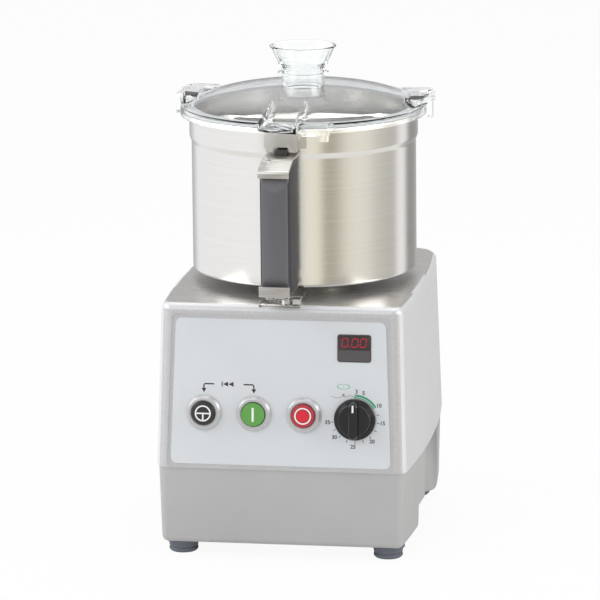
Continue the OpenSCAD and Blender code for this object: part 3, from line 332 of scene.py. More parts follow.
GRIP = Moulded("grip_plastic", "grip_grey", (0.118, 0.115, 0.127), 0.4, 0.05, grain=1700.0, depth=0.00003,
               shine=0.6)
# Darker copy of the grip plastic for the grip's sideways faces: painted shade, standing for the shade that
# falls on the grip's sides.
GRIP_PAINTED_SHADE = Moulded("grip_side", "grip_grey", (0.062, 0.058, 0.062), 0.55, 0.06, grain=1500.0,
                    depth=0.00004, shine=0.15)
BOWL_STEEL = Brushed("bowl_steel", "bowl_steel", (0.84, 0.83, 0.81), 0.2, 0.035, depth=0.000003)
BOWL_BAND = Brushed("rim_steel", "bowl_steel", (0.8, 0.785, 0.755), 0.22, 0.05)
STRAP_STEEL = Brushed("strap_steel", "strap_steel", (0.58, 0.56, 0.53), 0.28, 0.14, grain=Grain.ACROSS)
CHANNEL_STEEL = Moulded("channel_steel", "strap_steel", (0.6, 0.585, 0.56), 0.36, 0.05, 60.0, 800.0,
                        0.00002, 1.0)
CATCH_STEEL = Brushed("catch_steel", "strap_steel", (0.66, 0.65, 0.63), 0.25, 0.05, grain=Grain.ALONG)
CUTTER_STEEL = Brushed("cutter_steel", "cutter_steel", (0.72, 0.73, 0.745), 0.24, 0.06)
BLADE_STEEL = Brushed("blade_steel", "cutter_steel", (0.76, 0.77, 0.78), 0.2, 0.06, grain=Grain.ALONG)
SHAFT_STEEL = Brushed("shaft_steel", "shaft_steel", (0.6, 0.6, 0.62), 0.2, 0.06)
LAMINATION = Brushed("lamination_steel", "core_steel", (0.2, 0.2, 0.215), 0.45, 0.2, depth=0.0001)
CAST_ALLOY = Moulded("cast_alloy", "cast_alloy", (0.5, 0.5, 0.52), 0.5, 0.08, grain=500.0, depth=0.00008,
                     metal=0.9)
COPPER = Wound("winding_copper", "winding_copper", (0.5, 0.2, 0.07), 0.3, 0.1, 120.0)
BOARD = Moulded("circuit_board", "board_green", (0.02, 0.16, 0.06), 0.35, 0.25, 240.0, coat=0.3)
SEAL_BLACK = Moulded("seal_black", "seal_black", (0.02, 0.02, 0.02), 0.6, 0.2)
SEAL_GREY = Moulded("seal_grey", "seal_grey", (0.62, 0.64, 0.65), 0.45, 0.05)
NYLON = Moulded("nylon", "nylon", (0.8, 0.8, 0.77), 0.4, 0.04)
CLEAR_LID = Clear("clear_lid", "clear_lid", (0.985, 0.995, 0.995), 0.02, 0.004)
CLEAR_FUNNEL = Clear("clear_funnel", "clear_lid", (0.975, 0.992, 0.992), 0.02, 0.004)

NODE_FINISHES: dict[str, Finish] = {
    "foot_screws": SHAFT_STEEL, "chassis_plate": CAST_ALLOY, "display_board": BOARD,
    "contact_blocks": BLACK_MATTE, "potentiometer": CAST_ALLOY, "bowl_spigot": CAST_ALLOY,
    "shaft_seal": SEAL_BLACK, "upper_bell": CAST_ALLOY, "lower_bell": CAST_ALLOY,
    "upper_bearing": SHAFT_STEEL, "lower_bearing": SHAFT_STEEL, "motor_bolts": SHAFT_STEEL,
    "drive_board": BOARD, "heat_sink": CAST_ALLOY, "capacitors": BLACK_GLOSS,
    "terminal_block": NYLON, "safety_switch": BLACK_MATTE, "motor_shaft": SHAFT_STEEL,
    "rotor_core": LAMINATION, "stator_core": LAMINATION, "stator_windings": COPPER,
    "cooling_fan": BLACK_MATTE, "drive_pin": SHAFT_STEEL, "blade_spacer": CUTTER_STEEL,
    "cutter_hub": CUTTER_STEEL, "seat_ring": NYLON, "switch_plunger": NYLON,
    "knob_spindle": SHAFT_STEEL, "lid_seal": SEAL_GREY, "bowl_hub": BOWL_BAND,
}


def arc(centre: Point2, radius: float, start: float, end: float, steps: int) -> list[Point2]:
    """Returns points on an arc, with angles in degrees counted from the first axis."""
    turns = [math.radians(start + (end - start) * i / steps) for i in range(steps + 1)]
    return [(centre[0] + radius * math.cos(a), centre[1] + radius * math.sin(a)) for a in turns]


def eased(outline: Sequence[Point2], radii: Sequence[float], steps: int = 4) -> list[Point2]:
    """Rounds the corners of a closed outline.

    Args:
        outline: the corners in order.
        radii: one radius for each corner; zero keeps it sharp.
        steps: how many edges each rounded corner gets.
    Returns:
        The outline with an arc in place of each rounded corner.
    """
    result: list[Point2] = []
    count = len(outline)
    for i, (corner, radius) in enumerate(zip(outline, radii)):
        here, before, after = Vector(corner), Vector(outline[i - 1]), Vector(outline[(i + 1) % count])
        to_before, to_after = before - here, after - here
        opening = to_before.angle(to_after, math.pi)
        if radius <= 0.0 or opening > math.radians(176.0):
            result.append(corner)
            continue
        reach = min(radius / math.tan(opening / 2.0), 0.48 * to_before.length, 0.48 * to_after.length)
        first = here + to_before.normalized() * reach
        last = here + to_after.normalized() * reach
        for k in range(steps + 1):
            t = k / steps
            point = first * (1 - t) ** 2 + here * 2 * t * (1 - t) + last * t ** 2
            result.append((point.x, point.y))
    return result


def rectangle(width: float, height: float, centre: Point2 = (0.0, 0.0)) -> list[Point2]:
    """Returns a rectangle's corners, from the lower left and counter-clockwise."""
    (x, y), w, h = centre, width / 2.0, height / 2.0
    return [(x - w, y - h), (x + w, y - h), (x + w, y + h), (x - w, y + h)]


class Shape:
    """A mesh under construction, in millimetres, in the frame that its maker chooses."""

    def __init__(self) -> None:
        """Starts with no faces."""
        self.bm = bmesh.new()

    def lathe(self, profile: Sequence[Point2], steps: int) -> "Shape":
        """Turns a closed (radius, height) outline round the Z axis."""
        rings = []
        for i in range(steps):
            a = 2.0 * math.pi * i / steps
            rings.append([self.bm.verts.new((r * math.cos(a), r * math.sin(a), z)) for r, z in profile])
        for i, ring in enumerate(rings):
            beside = rings[(i + 1) % steps]
            for k in range(len(profile)):
                n = (k + 1) % len(profile)
                if profile[k][0] < 1e-6 and profile[n][0] < 1e-6:
                    continue
                self.bm.faces.new((ring[k], beside[k], beside[n], ring[n]))
        bmesh.ops.remove_doubles(self.bm, verts=self.bm.verts, dist=1e-5)
        return self

    def prism(self, outline: Sequence[Point2], low: float, high: float) -> "Shape":
        """Raises a closed outline from one height to another."""
        return self.loft([[(x, y, z) for x, y in outline] for z in (low, high)])

    def plate(self, width: float, height: float, thick: float, centre: Point2 = (0.0, 0.0),
              low: float = 0.0) -> "Shape":
        """Adds a flat bar with its middle at a spot."""
        return self.prism(rectangle(width, height, centre), low, low + thick)

    def band(self, centre: Point2, inner: float, outer: float, low: float, high: float,
             start: float = 0.0, sweep: float = 360.0, steps: int = 48, stretch: float = 1.0) -> "Shape":
        """Adds part of a flat ring, or all of it, with stretch as its height over its width."""
        full = abs(sweep) >= 360.0
        rows = []
        for i in range(steps if full else steps + 1):
            a = math.radians(start + sweep * i / steps)
            x, y = math.cos(a), stretch * math.sin(a)
            rows.append([self.bm.verts.new((centre[0] + r * x, centre[1] + r * y, z))
                         for r, z in ((inner, low), (outer, low), (outer, high), (inner, high))])
        return self.skin(rows, full)

    def frame(self, outer: Sequence[Point2], inner: Sequence[Point2], low: float, high: float) -> "Shape":
        """Adds a flat ring between two closed outlines of equal count."""
        rings = [[self.bm.verts.new((x, y, z)) for x, y in outline]
                 for outline, z in ((inner, low), (outer, low), (outer, high), (inner, high))]
        return self.skin(rings, True)

    def loft(self, sections: Sequence[Sequence[Sequence[float]]]) -> "Shape":
        """Joins closed sections of equal count by a skin, and closes both ends."""
        return self.skin([[self.bm.verts.new(p) for p in section] for section in sections], False)

    def skin(self, rings: Sequence[Sequence[bmesh.types.BMVert]], wrap: bool) -> "Shape":
        """Joins rings of equal count, each to the next one.

        Args:
            rings: the rings' vertices, in order.
            wrap: whether the last ring is joined to the first; if not, both ends are closed.
        Returns:
            The shape itself.
        """
        beyond = rings[1:] + rings[:1] if wrap else rings[1:]
        for here, beside in zip(rings, beyond):
            for i in range(len(here)):
                n = (i + 1) % len(here)
                self.bm.faces.new((here[i], here[n], beside[n], beside[i]))
        if not wrap:
            self.bm.faces.new(rings[0][::-1])
            self.bm.faces.new(rings[-1])
        return self

    def soften(self, width: float, steps: int = 2, angle: float = 30.0) -> "Shape":
        """Bevels every edge that turns by more than angle."""
        self.bm.normal_update()
        limit = math.radians(angle)
        edges = [e for e in self.bm.edges if len(e.link_faces) == 2 and e.calc_face_angle(0.0) > limit]
        if edges:
            bmesh.ops.bevel(self.bm, geom=edges, offset=width, segments=steps, profile=0.5,
                            affect="EDGES", clamp_overlap=True)
        return self

    def add_mesh(self, mesh: Mesh) -> "Shape":
        """Adds a copy of a mesh that is already in millimetres."""
        self.bm.from_mesh(mesh)
        return self

    def closed(self, name: str) -> Mesh:
        """Turns the faces outwards and moves them to a mesh, which stays in millimetres."""
        bmesh.ops.recalc_face_normals(self.bm, faces=self.bm.faces)
        mesh = bpy.data.meshes.new(name)
        self.bm.to_mesh(mesh)
        self.bm.free()
        return mesh

    def mesh(self, name: str, place: Matrix, sharp: float) -> Mesh:
        """Closes the work.

        Args:
            name: the mesh's name.
            place: where the maker's frame stands, in millimetres.
            sharp: edges that turn by more than this many degrees stay sharp.
        Returns:
            The mesh in metres, with outward faces and smooth shading.
        """
        mesh = self.closed(name)
        mesh.transform(Matrix.Scale(MM, 4) @ place)
        mesh.shade_smooth()
        mesh.set_sharp_from_angle(angle=math.radians(sharp))
        return mesh


def calc(tree: Tree, operation: str, *values: object) -> Socket:
    """Adds a Math node with numbers or sockets as its inputs, and returns its result."""
    node = tree.nodes.new("ShaderNodeMath")
    node.operation = operation
    for socket, value in zip(node.inputs, values):
        if isinstance(value, float):
            socket.default_value = value
        else:
            tree.links.new(value, socket)
    return node.outputs[0]


def placed(name: str, data: bpy.types.ID) -> Object:
    """Makes an object of that data in the scene."""
    made = bpy.data.objects.new(name, data)
    bpy.context.scene.collection.objects.link(made)
    return made


def taken_from(holder: Object) -> Mesh:
    """Returns a holder's mesh as its modifiers leave it, and removes the holder."""
    bpy.context.scene.collection.objects.link(holder)
    bpy.context.view_layer.update()
    seen = holder.evaluated_get(bpy.context.evaluated_depsgraph_get())
    mesh = bpy.data.meshes.new_from_object(seen)
    holder.modifiers.clear()
    bpy.data.objects.remove(holder)
    return mesh


def evened(mesh: Mesh) -> Mesh:
    """Weights a mesh's normals by face area, so that flat faces beside round corners stay even."""
    holder = bpy.data.objects.new("evening_holder", mesh)
    holder.modifiers.new("even_shading", "WEIGHTED_NORMAL").keep_sharp = True
    return taken_from(holder)


def recast(node: str, soften: float = 0.0, steps: int = 2, merge: bool = True) -> Shape:
    """Copies a CAD node's mesh, joins it, and softens its sharp edges.

    Args:
        node: the CAD node's name.
        soften: bevel width in millimetres.
        steps: bevel steps.
        merge: whether triangles in one plane become one face.
    Returns:
        The copy, in millimetres in the row frame.
    """
    shape = Shape()
    shape.bm.from_mesh(frame["nodes"][node].data)
    bmesh.ops.scale(shape.bm, vec=(1000.0,) * 3, verts=shape.bm.verts)
    bmesh.ops.remove_doubles(shape.bm, verts=shape.bm.verts, dist=0.002)
    if merge:
        bmesh.ops.dissolve_limit(shape.bm, angle_limit=math.radians(0.6), verts=shape.bm.verts,
                                 edges=shape.bm.edges)
    if soften:
        shape.soften(soften, steps)
    return shape


def lettering(text: str, size: float, depth: float) -> Mesh:
    """Returns raised figures as a closed mesh in millimetres, centred on the origin."""
    curve = bpy.data.curves.new(f"figures_{text}", "FONT")
    curve.body = text
    curve.size = size
    curve.extrude = depth / 2.0
    curve.offset = 0.022 * size
    curve.align_x = "CENTER"
    curve.align_y = "CENTER"
    mesh = taken_from(bpy.data.objects.new(curve.name, curve))
    bpy.data.curves.remove(curve)
    return mesh


class ArrayTree:
    """A Geometry Nodes tree that sets copies of its input round a circle.

    Its inputs are Count, Radius, Start, Step and Material: copy i stands at the angle
    Start + i * Step on the circle of that radius.
    """

    NAME = "repeat_round"

    def __init__(self) -> None:
        """Builds the tree once."""
        self.tree = bpy.data.node_groups.new(self.NAME, "GeometryNodeTree")
        self.ids: dict[str, str] = {}
        face = self.tree.interface
        face.new_socket("Geometry", in_out="INPUT", socket_type="NodeSocketGeometry")
        for name, kind in (("Count", "Int"), ("Radius", "Float"), ("Start", "Float"), ("Step", "Float"),
                           ("Material", "Material")):
            socket = face.new_socket(name, in_out="INPUT", socket_type=f"NodeSocket{kind}")
            self.ids[name] = socket.identifier
        face.new_socket("Geometry", in_out="OUTPUT", socket_type="NodeSocketGeometry")
        self.wire()

    def wire(self) -> None:
        """Lays the nodes: points, their turn and place, the copies, real meshes, the material."""
        link, node = self.tree.links.new, self.tree.nodes.new
        given = node("NodeGroupInput").outputs
        index = node("GeometryNodeInputIndex").outputs[0]
        points = node("GeometryNodePoints")
        link(given["Count"], points.inputs["Count"])
        turn = calc(self.tree, "MULTIPLY_ADD", index, given["Step"], given["Start"])
        spot, angle = node("ShaderNodeCombineXYZ"), node("ShaderNodeCombineXYZ")
        for operation, socket in zip(("COSINE", "SINE"), spot.inputs):
            part = calc(self.tree, operation, turn)
            link(calc(self.tree, "MULTIPLY", part, given["Radius"]), socket)
        link(spot.outputs[0], points.inputs["Position"])
        link(turn, angle.inputs["Z"])
        copies = node("GeometryNodeInstanceOnPoints")
        link(points.outputs[0], copies.inputs["Points"])
        link(given["Geometry"], copies.inputs["Instance"])
        link(angle.outputs[0], copies.inputs["Rotation"])
        real = node("GeometryNodeRealizeInstances")
        link(copies.outputs[0], real.inputs[0])
        paint = node("GeometryNodeSetMaterial")
        link(real.outputs[0], paint.inputs["Geometry"])
        link(given["Material"], paint.inputs["Material"])
        link(paint.outputs[0], node("NodeGroupOutput").inputs[0])

    def repeat(self, item: Shape, finish: Finish, count: int, radius: float, start: float,
               step: float) -> Shape:
        """Repeats a small shape.

        Args:
            item: one copy, drawn at the origin in millimetres, with +X outwards.
            finish: the copies' finish.
            count: how many copies.
            radius: the circle's radius.
            start: the first copy's angle in degrees.
            step: the angle between copies in degrees.
        Returns:
            All the copies as one shape.
        """
        holder = bpy.data.objects.new("repeat_holder", item.closed("repeat_item"))
        modifier = holder.modifiers.new("repeat", "NODES")
        modifier.node_group = self.tree
        values = {"Count": count, "Radius": radius, "Start": math.radians(start),
                  "Step": math.radians(step), "Material": finish.material()}
        for name, value in values.items():
            modifier[self.ids[name]] = value
        whole = taken_from(holder)
        shape = Shape().add_mesh(whole)
        for face in shape.bm.faces:
            face.material_index = 0
        return shape


ARRAYS = ArrayTree()


@dataclass
class Assembly:
    """A sub-assembly: it builds pieces and gives each its body and its finish."""

    made: list[str] = field(default_factory=list)

    def piece(self, name: str, mesh: Mesh, body: Body, finish: Finish,
              stands_for: Sequence[str] = ()) -> Object:
        """Makes an object of a finished mesh.

        Args:
            name: the piece's name.
            mesh: its mesh, in metres in the row frame.
            body: what it rides on.
            finish: its finish.
            stands_for: the CAD nodes that it is shown in place of.
        Returns:
            The object.
        """
        made = placed(name, mesh)
        if mesh.materials:
            mesh.materials.clear()
        mesh.materials.append(finish.material())
        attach(made, body.value)
        if stands_for:
            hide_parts(*stands_for)
        self.made.append(name)
        LOG.info("%s rides on %s, %d faces", name, body.value, len(mesh.polygons))
        return made

    def recast_piece(self, node: str, body: Body, finish: Finish, soften: float, steps: int = 2,
                     sharp: float = 32.0) -> Object:
        """Shows a CAD node as a copy with softened edges."""
        return self.show(f"{node}_skin", recast(node, soften, steps), AS_DRAWN, body, finish, (node,), sharp)

    def show(self, name: str, shape: Shape, place: Matrix, body: Body, finish: Finish,
             stands_for: Sequence[str] = (), sharp: float = 32.0) -> Object:
        """Closes a shape under the piece's own name and makes the piece; see Shape.mesh and piece."""
        return self.piece(name, shape.mesh(name, place, sharp), body, finish, stands_for)

    def build(self) -> None:
        """Builds every piece."""
        raise NotImplementedError


@dataclass
class ControlFront(Assembly):
    """The sloping front: label, push-buttons, speed knob, display and the marks between them."""

    front_reach: float = 162.0
    joint_z: float = 91.0
    lean: float = math.atan2(12.6, 162.6)
    label_n: float = -0.3
    ink_t: float = 0.06
    mark_t: float = 0.16
    button_x: tuple[float, float, float] = (-75.9, -26.35, 23.2)
    button_u: float = 55.6
    cap_r: float = 11.4
    cap_low: float = 4.2
    cap_t: float = 2.6
    stem_r: float = 4.0
    stem_h: float = 19.8
    bezel_r: float = 17.5
    bezel_h: float = 4.6
    sleeve: tuple[float, float, float] = (9.6, 13.4, -9.0)
    knob: Point2 = (73.9, 52.9)
    knob_r: float = 20.5
    bar_top: float = 16.0
    figure_size: float = 5.4
    figure_r: float = 27.4
    tick_r: float = 23.2
    ticks: int = 10
    tick_start: float = 12.0
    tick_step: float = -20.4
    bracket_u: float = 28.6
    bracket_half: float = 0.65
    bracket_reach: float = 10.2
    sign_half: float = 2.4
    display: Point2 = (72.9, 122.9)
    display_w: float = 33.3
    display_h: float = 27.3
    display_n: float = -1.3
    glass_t: float = 1.8
    glass_corner: float = 3.0
    surround_edge: float = 1.6
    surround_n: Point2 = (0.98, 1.04)
    speeds: tuple[tuple[str, float], ...] = (
        ("3", 3.0), ("5", 18.0), ("10", 59.0), ("15", 97.0), ("20", 142.0), ("25", 184.0), ("30", 228.0),
        ("35", 262.0))

    def place(self, x: float = 0.0, u: float = 0.0, n: float = 0.0) -> Matrix:
        """Returns the place of a spot on the slope: x across, u up it, n out of it."""
        s, c = math.sin(self.lean), math.cos(self.lean)
        turn = Matrix(((1, 0, 0, 0), (0, s, -c, SHAFT_Y - self.front_reach), (0, c, s, self.joint_z),
                       (0, 0, 0, 1)))
        return turn @ Matrix.Translation((x, u, n))

    def build(self) -> None:
        """Builds the label, its marks, the buttons, the knob and the display."""
        self.recast_piece("control_panel", Body.BASE, LABEL, 0.0, 1, 8.0)
        self.bezels()
        self.buttons()
        self.speed_knob()
        self.dial()
        self.arrows()
        self.display_window()

    def bezels(self) -> None:
        """Builds the three satin rings round the push-buttons."""
        inner, rim, top = self.cap_r + 0.3, self.bezel_r, self.bezel_h
        bore, neck, foot = self.sleeve
        profile = eased(
            [(bore, foot), (neck, foot), (neck, 0.0), (rim, 0.0), (rim, 1.8), (rim - 2.3, top),
             (inner + 0.9, top), (inner, top - 1.0), (inner, 1.0), (bore, 1.0)],
            [0, 0, 0, 0.3, 1.2, 1.6, 0.5, 0.4, 0, 0])
        for name, x in zip(("pulse", "start", "stop"), self.button_x):
            where = self.place(x, self.button_u, self.label_n)
            ring = Shape().lathe(profile, 96)
            self.show(f"{name}_ring", ring, where, Body.BASE, BEZEL, (f"{name}_bezel",))

    def cap(self, name: str, index: int, body: Body, finish: Finish) -> Matrix:
        """Builds one cap with a faintly crowned face, and returns the place of its face."""
        low, high, r = self.cap_low, self.cap_low + self.cap_t, self.cap_r
        foot = low - self.stem_h
        profile = eased([(0, foot), (self.stem_r, foot), (self.stem_r, low), (r, low), (r, high - 0.5),
                         (r - 0.5, high - 0.08), (0, high)], [0, 0.3, 0, 0.2, 0.4, 0.5, 0])
        where = self.place(self.button_x[index], self.button_u, self.label_n)
        self.show(f"{name}_cap", Shape().lathe(profile, 96), where, body, finish, (f"{name}_button",))
        return where @ Matrix.Translation((0.0, 0.0, high - 0.1))

    def buttons(self) -> None:
        """Builds the three caps and the marks on them."""
        top = self.mark_t
        face = self.cap("pulse", 0, Body.PULSE, BLACK_CAP)
        mark = Shape().band((0, 0), 6.6, 8.0, 0.0, top)
        mark.plate(13.8, 1.4, top).plate(1.5, 6.0, top, (0.0, -3.9))
        self.show("pulse_mark", mark, face, Body.PULSE, INK_WHITE)
        face = self.cap("start", 1, Body.START, GREEN_CAP)
        bar = Shape().prism(eased(rectangle(2.2, 14.0), [0.5] * 4), 0, top)
        self.show("start_mark", bar, face, Body.START, INK_WHITE)
        face = self.cap("stop", 2, Body.STOP, RED_RING)
        self.show("stop_mark", Shape().band((0, 0), 7.0, 8.3, 0.0, top), face, Body.STOP, INK_WHITE)
        disc = Shape().lathe([(0, 0), (5.6, 0), (5.6, top), (0, top)], 64)
        self.show("stop_disc", disc, face, Body.STOP, RED_DISC)

    def speed_knob(self) -> None:
        """Builds the knob: a thin skirt, a drum with a grip bar across it, and a pointer line."""
        where = self.place(*self.knob, 0.0)
        r = self.knob_r
        drum = Shape().lathe(eased(
            [(3.0, 0.0), (r, 0.0), (r, 2.6), (r - 0.8, 3.5), (17.2, 3.6), (15.6, 9.0), (3.0, 9.0)],
            [0, 0.3, 0.5, 0.8, 0.9, 0.9, 0]), 128)
        self.show("knob_drum", drum, where, Body.SPEED, BLACK_GLOSS, ("speed_knob",))
        sections = []
        for n, half, reach in ((3.0, 5.6, 18.6), (9.0, 5.2, 18.6), (13.5, 4.75, 18.3), (15.2, 4.5, 17.6),
                               (self.bar_top, 3.6, 16.6)):
            ends = arc((0.0, reach - half), half, 0.0, 180.0, 10)
            ends += arc((0.0, half - reach), half, 180.0, 360.0, 10)
            waist = [1.0 - 0.12 * math.cos(min(1.0, abs(y) / reach) * math.pi / 2) for _, y in ends]
            sections.append([(x * share, y, n) for (x, y), share in zip(ends, waist)])
        self.show("knob_bar", Shape().loft(sections), where, Body.SPEED, BLACK_GLOSS)
        line = Shape().plate(1.8, 7.2, 0.18, (0.0, 12.6), self.bar_top - 0.1)
        self.show("knob_pointer", line, where, Body.SPEED, INK_WHITE)

    def dial(self) -> None:
        """Prints the dial: figures, ticks, the green part of the scale and two small pictures."""
        where = self.place(*self.knob, self.label_n)
        ink = self.ink_t
        figures = Shape()
        for text, clock in self.speeds:
            a = math.radians(90.0 - clock)
            mesh = lettering(text, self.figure_size, ink)
            spot = (self.figure_r * math.cos(a), self.figure_r * math.sin(a), ink / 2.0)
            mesh.transform(Matrix.Translation(spot))
            figures.add_mesh(mesh)
        bmesh.ops.remove_doubles(figures.bm, verts=figures.bm.verts, dist=1e-4)
        self.show("dial_figures", figures, where, Body.BASE, INK_DARK)
        tick = Shape().plate(2.8, 0.6, ink)
        ring = ARRAYS.repeat(tick, INK_DARK, self.ticks, self.tick_r, self.tick_start, self.tick_step)
        self.show("dial_ticks", ring, where, Body.BASE, INK_DARK)
        green = Shape().band((0, 0), 22.6, 24.5, 0.0, ink, 31.0, 57.0)
        green.band((0, 0), 21.1, 21.9, 0.0, ink, 30.0, 60.0).plate(0.7, 4.5, ink, (0.0, 22.95))
        self.show("dial_green", green, where, Body.BASE, INK_GREEN)
        middle = (-11.4, 32.0)
        plate = Shape().band(middle, 5.4, 6.5, 0.0, ink, stretch=0.42).band(middle, 0.0, 0.5, 0.0, ink)
        self.show("plate_picture", plate, where, Body.BASE, INK_PALE_GREEN)
        blade = Shape().prism([(-12.9, 22.2), (-10.1, 22.2), (-10.5, 25.0), (-12.5, 25.0)], 0.0, ink)
        blade.band((-18.0, 30.0), 8.9, 9.4, 0.0, ink, 236.0, 66.0, 16)
        blade.band((-5.0, 14.0), 9.0, 9.5, 0.0, ink, 62.0, 64.0, 16)
        self.show("blade_picture", blade, where, Body.BASE, INK_GREY)

    def arrows(self) -> None:
        """Prints the bracket of arrows that joins the two left buttons, with a plain wind-back sign."""
        where = self.place(0.0, self.button_u, self.label_n)
        ink, top, half, reach = self.ink_t, self.bracket_u, self.bracket_half, self.bracket_reach
        left, right = self.button_x[:2]
        shape = Shape()
        for side, x, end in ((1.0, left, left + reach), (-1.0, right, right - reach)):
            path = [(x - side * half, 23.0), (x - side * half, top - 1.0), (x + side * 1.0, top + half),
                    (end, top + half), (end, top - half), (x + side * 1.2, top - half),
                    (x + side * half, top - 1.4), (x + side * half, 23.0)]
            shape.prism(path if side > 0 else path[::-1], 0.0, ink)
            shape.prism([(x - 2.4, 24.2), (x, 20.0), (x + 2.4, 24.2)], 0.0, ink)
        middle = (left + right) / 2.0
        low, high = top - self.sign_half, top + self.sign_half
        shape.plate(1.0, high - low, ink, (middle - 6.7, top))
        for x in (middle - 5.8, middle - 0.4):
            shape.prism([(x, top), (x + 5.0, low), (x + 5.0, high)], 0.0, ink)
        self.show("arrow_bracket", shape, where, Body.BASE, INK_DARK)

    def segments(self, lit: str, x: float, w: float, h: float, t: float) -> list[list[Point2]]:
        """Returns the lit bars of one seven-segment figure whose lower left corner is at (x, 0)."""
        half = t / 2.0
        spans = {"a": ((0, h), (w, h)), "b": ((w, h / 2), (w, h)), "c": ((w, 0), (w, h / 2)),
                 "d": ((0, 0), (w, 0)), "e": ((0, 0), (0, h / 2)), "f": ((0, h / 2), (0, h))}
        bars = []
        for name in lit:
            start, end = (Vector(p) for p in spans[name])
            along = (end - start).normalized()
            across = Vector((-along.y, along.x)) * half
            start, end = start + along * 0.2, end - along * 0.2
            corners = [start, start + along * half + across, end - along * half + across, end,
                       end - along * half - across, start + along * half - across]
            bars.append([(x + p.x + 0.12 * p.y, p.y) for p in corners])
        return bars

    def display_window(self) -> None:
        """Builds the tinted window with its lit figures above a plain grey band."""
        w, h = self.display_w, self.display_h
        where = self.place(*self.display, self.display_n)
        body = Shape().prism(eased(rectangle(w, h), [self.glass_corner] * 4, 6), 0.0, self.glass_t)
        body.soften(0.25, 2, 50.0)
        self.show("display_glass", body, where, Body.BASE, DISPLAY_TINT, ("display_window",))
        edge = 2.0 * self.surround_edge
        outer = eased(rectangle(w + edge, h + edge), [0.6] * 4, 6)
        inner = eased(rectangle(w, h), [self.glass_corner + 0.6] * 4, 6)
        rim = Shape().frame(outer, inner, *self.surround_n)
        self.show("display_surround", rim, where, Body.BASE, LABEL)
        low, high = self.glass_t - 0.05, self.glass_t + 0.04
        span = rectangle(w - 1.8, h / 2.0 - 2.8, (0.0, -(h / 2.0 + 1.0) / 2.0))
        band = Shape().prism(eased(span, [1.6, 1.6, 0, 0], 5), low, high)
        self.show("display_band", band, where, Body.BASE, DISPLAY_GREY)
        digits = Shape()
        for x in (-12.4, -2.6, 5.6):
            for bar in self.segments("abcdef", x, 5.6, 8.2, 1.0):
                digits.prism([(px, py + 1.4) for px, py in bar], low, high)
        digits.prism([(-5.3, 0.9), (-4.2, 0.9), (-4.1, 2.0), (-5.2, 2.0)], low, high)
        self.show("display_figures", digits, where, Body.BASE, DIGIT_RED)


@dataclass
class MotorBase(Assembly):
    """The cast housing, the moulded skirt, the feet, the gland and the catch in the deck."""

    foot_r: float = 14.4
    foot_h: float = 13.7
    bore_r: float = 5.1
    bore_h: float = 4.0
    stud_r: float = 2.6
    feet: tuple[Point2, ...] = ((102.4, -133.8), (-102.4, -133.8), (95.0, 112.0), (-95.0, 112.0))
    front_turn: float = -0.72
    front_depth: float = 140.0
    deck_low: float = 250.6

    def build(self) -> None:
        """Builds the outside of the base."""
        self.housing()
        self.recast_piece("lower_skirt", Body.BASE, SKIRT_PLASTIC, 0.8, 2, 34.0)
        self.rubber_feet()
        self.recast_piece("cable_gland", Body.BASE, BLACK_MATTE, 0.3)
        self.recast_piece("lock_catch", Body.BASE, CATCH_STEEL, 0.25)

    def housing(self) -> None:
        """Copies the casting with soft edges; its front and its deck have skins of their own."""
        shape = recast("upper_housing", 1.0, 3)
        shape.bm.normal_update()
        for face in shape.bm.faces:
            middle = face.calc_center_median()
            if face.normal.y < self.front_turn and middle.y < SHAFT_Y - self.front_depth:
                face.material_index = 1
            elif face.normal.z > 0.9 and middle.z > self.deck_low:
                face.material_index = 2
        mesh = evened(shape.mesh("housing_casting", AS_DRAWN, 38.0))
        self.piece("housing_casting", mesh, Body.BASE, ENAMEL, ("upper_housing",))
        for skin in (CAST_FRONT, DECK):
            mesh.materials.append(skin.material())

    def rubber_feet(self) -> None:
        """Builds the four ribbed feet."""
        r, h, bore, low, stud = self.foot_r, self.foot_h, self.bore_r, self.bore_h, self.stud_r
        profile = eased(
            [(bore, low), (bore, 0.0), (r - 2.0, 0.0), (r, 2.0), (r, 4.0), (r - 1.1, 4.7), (r - 1.1, 5.6),
             (r, 6.3), (r, 9.4), (r + 2.0, 10.3), (r + 2.1, h), (stud, h), (stud, low)],
            [0, 0.5, 1.6, 1.4, 0.5, 0.3, 0.3, 0.5, 0.5, 0.6, 0.8, 0, 0])
        shape = Shape()
        for x, y in self.feet:
            one = Shape().lathe(profile, 72)
            bmesh.ops.translate(one.bm, vec=(x, y, 0.0), verts=one.bm.verts)
            shape.add_mesh(one.closed("one_foot"))
        self.show("ribbed_feet", shape, SHAFT, Body.BASE, FOOT_RUBBER, ("rubber_feet",))


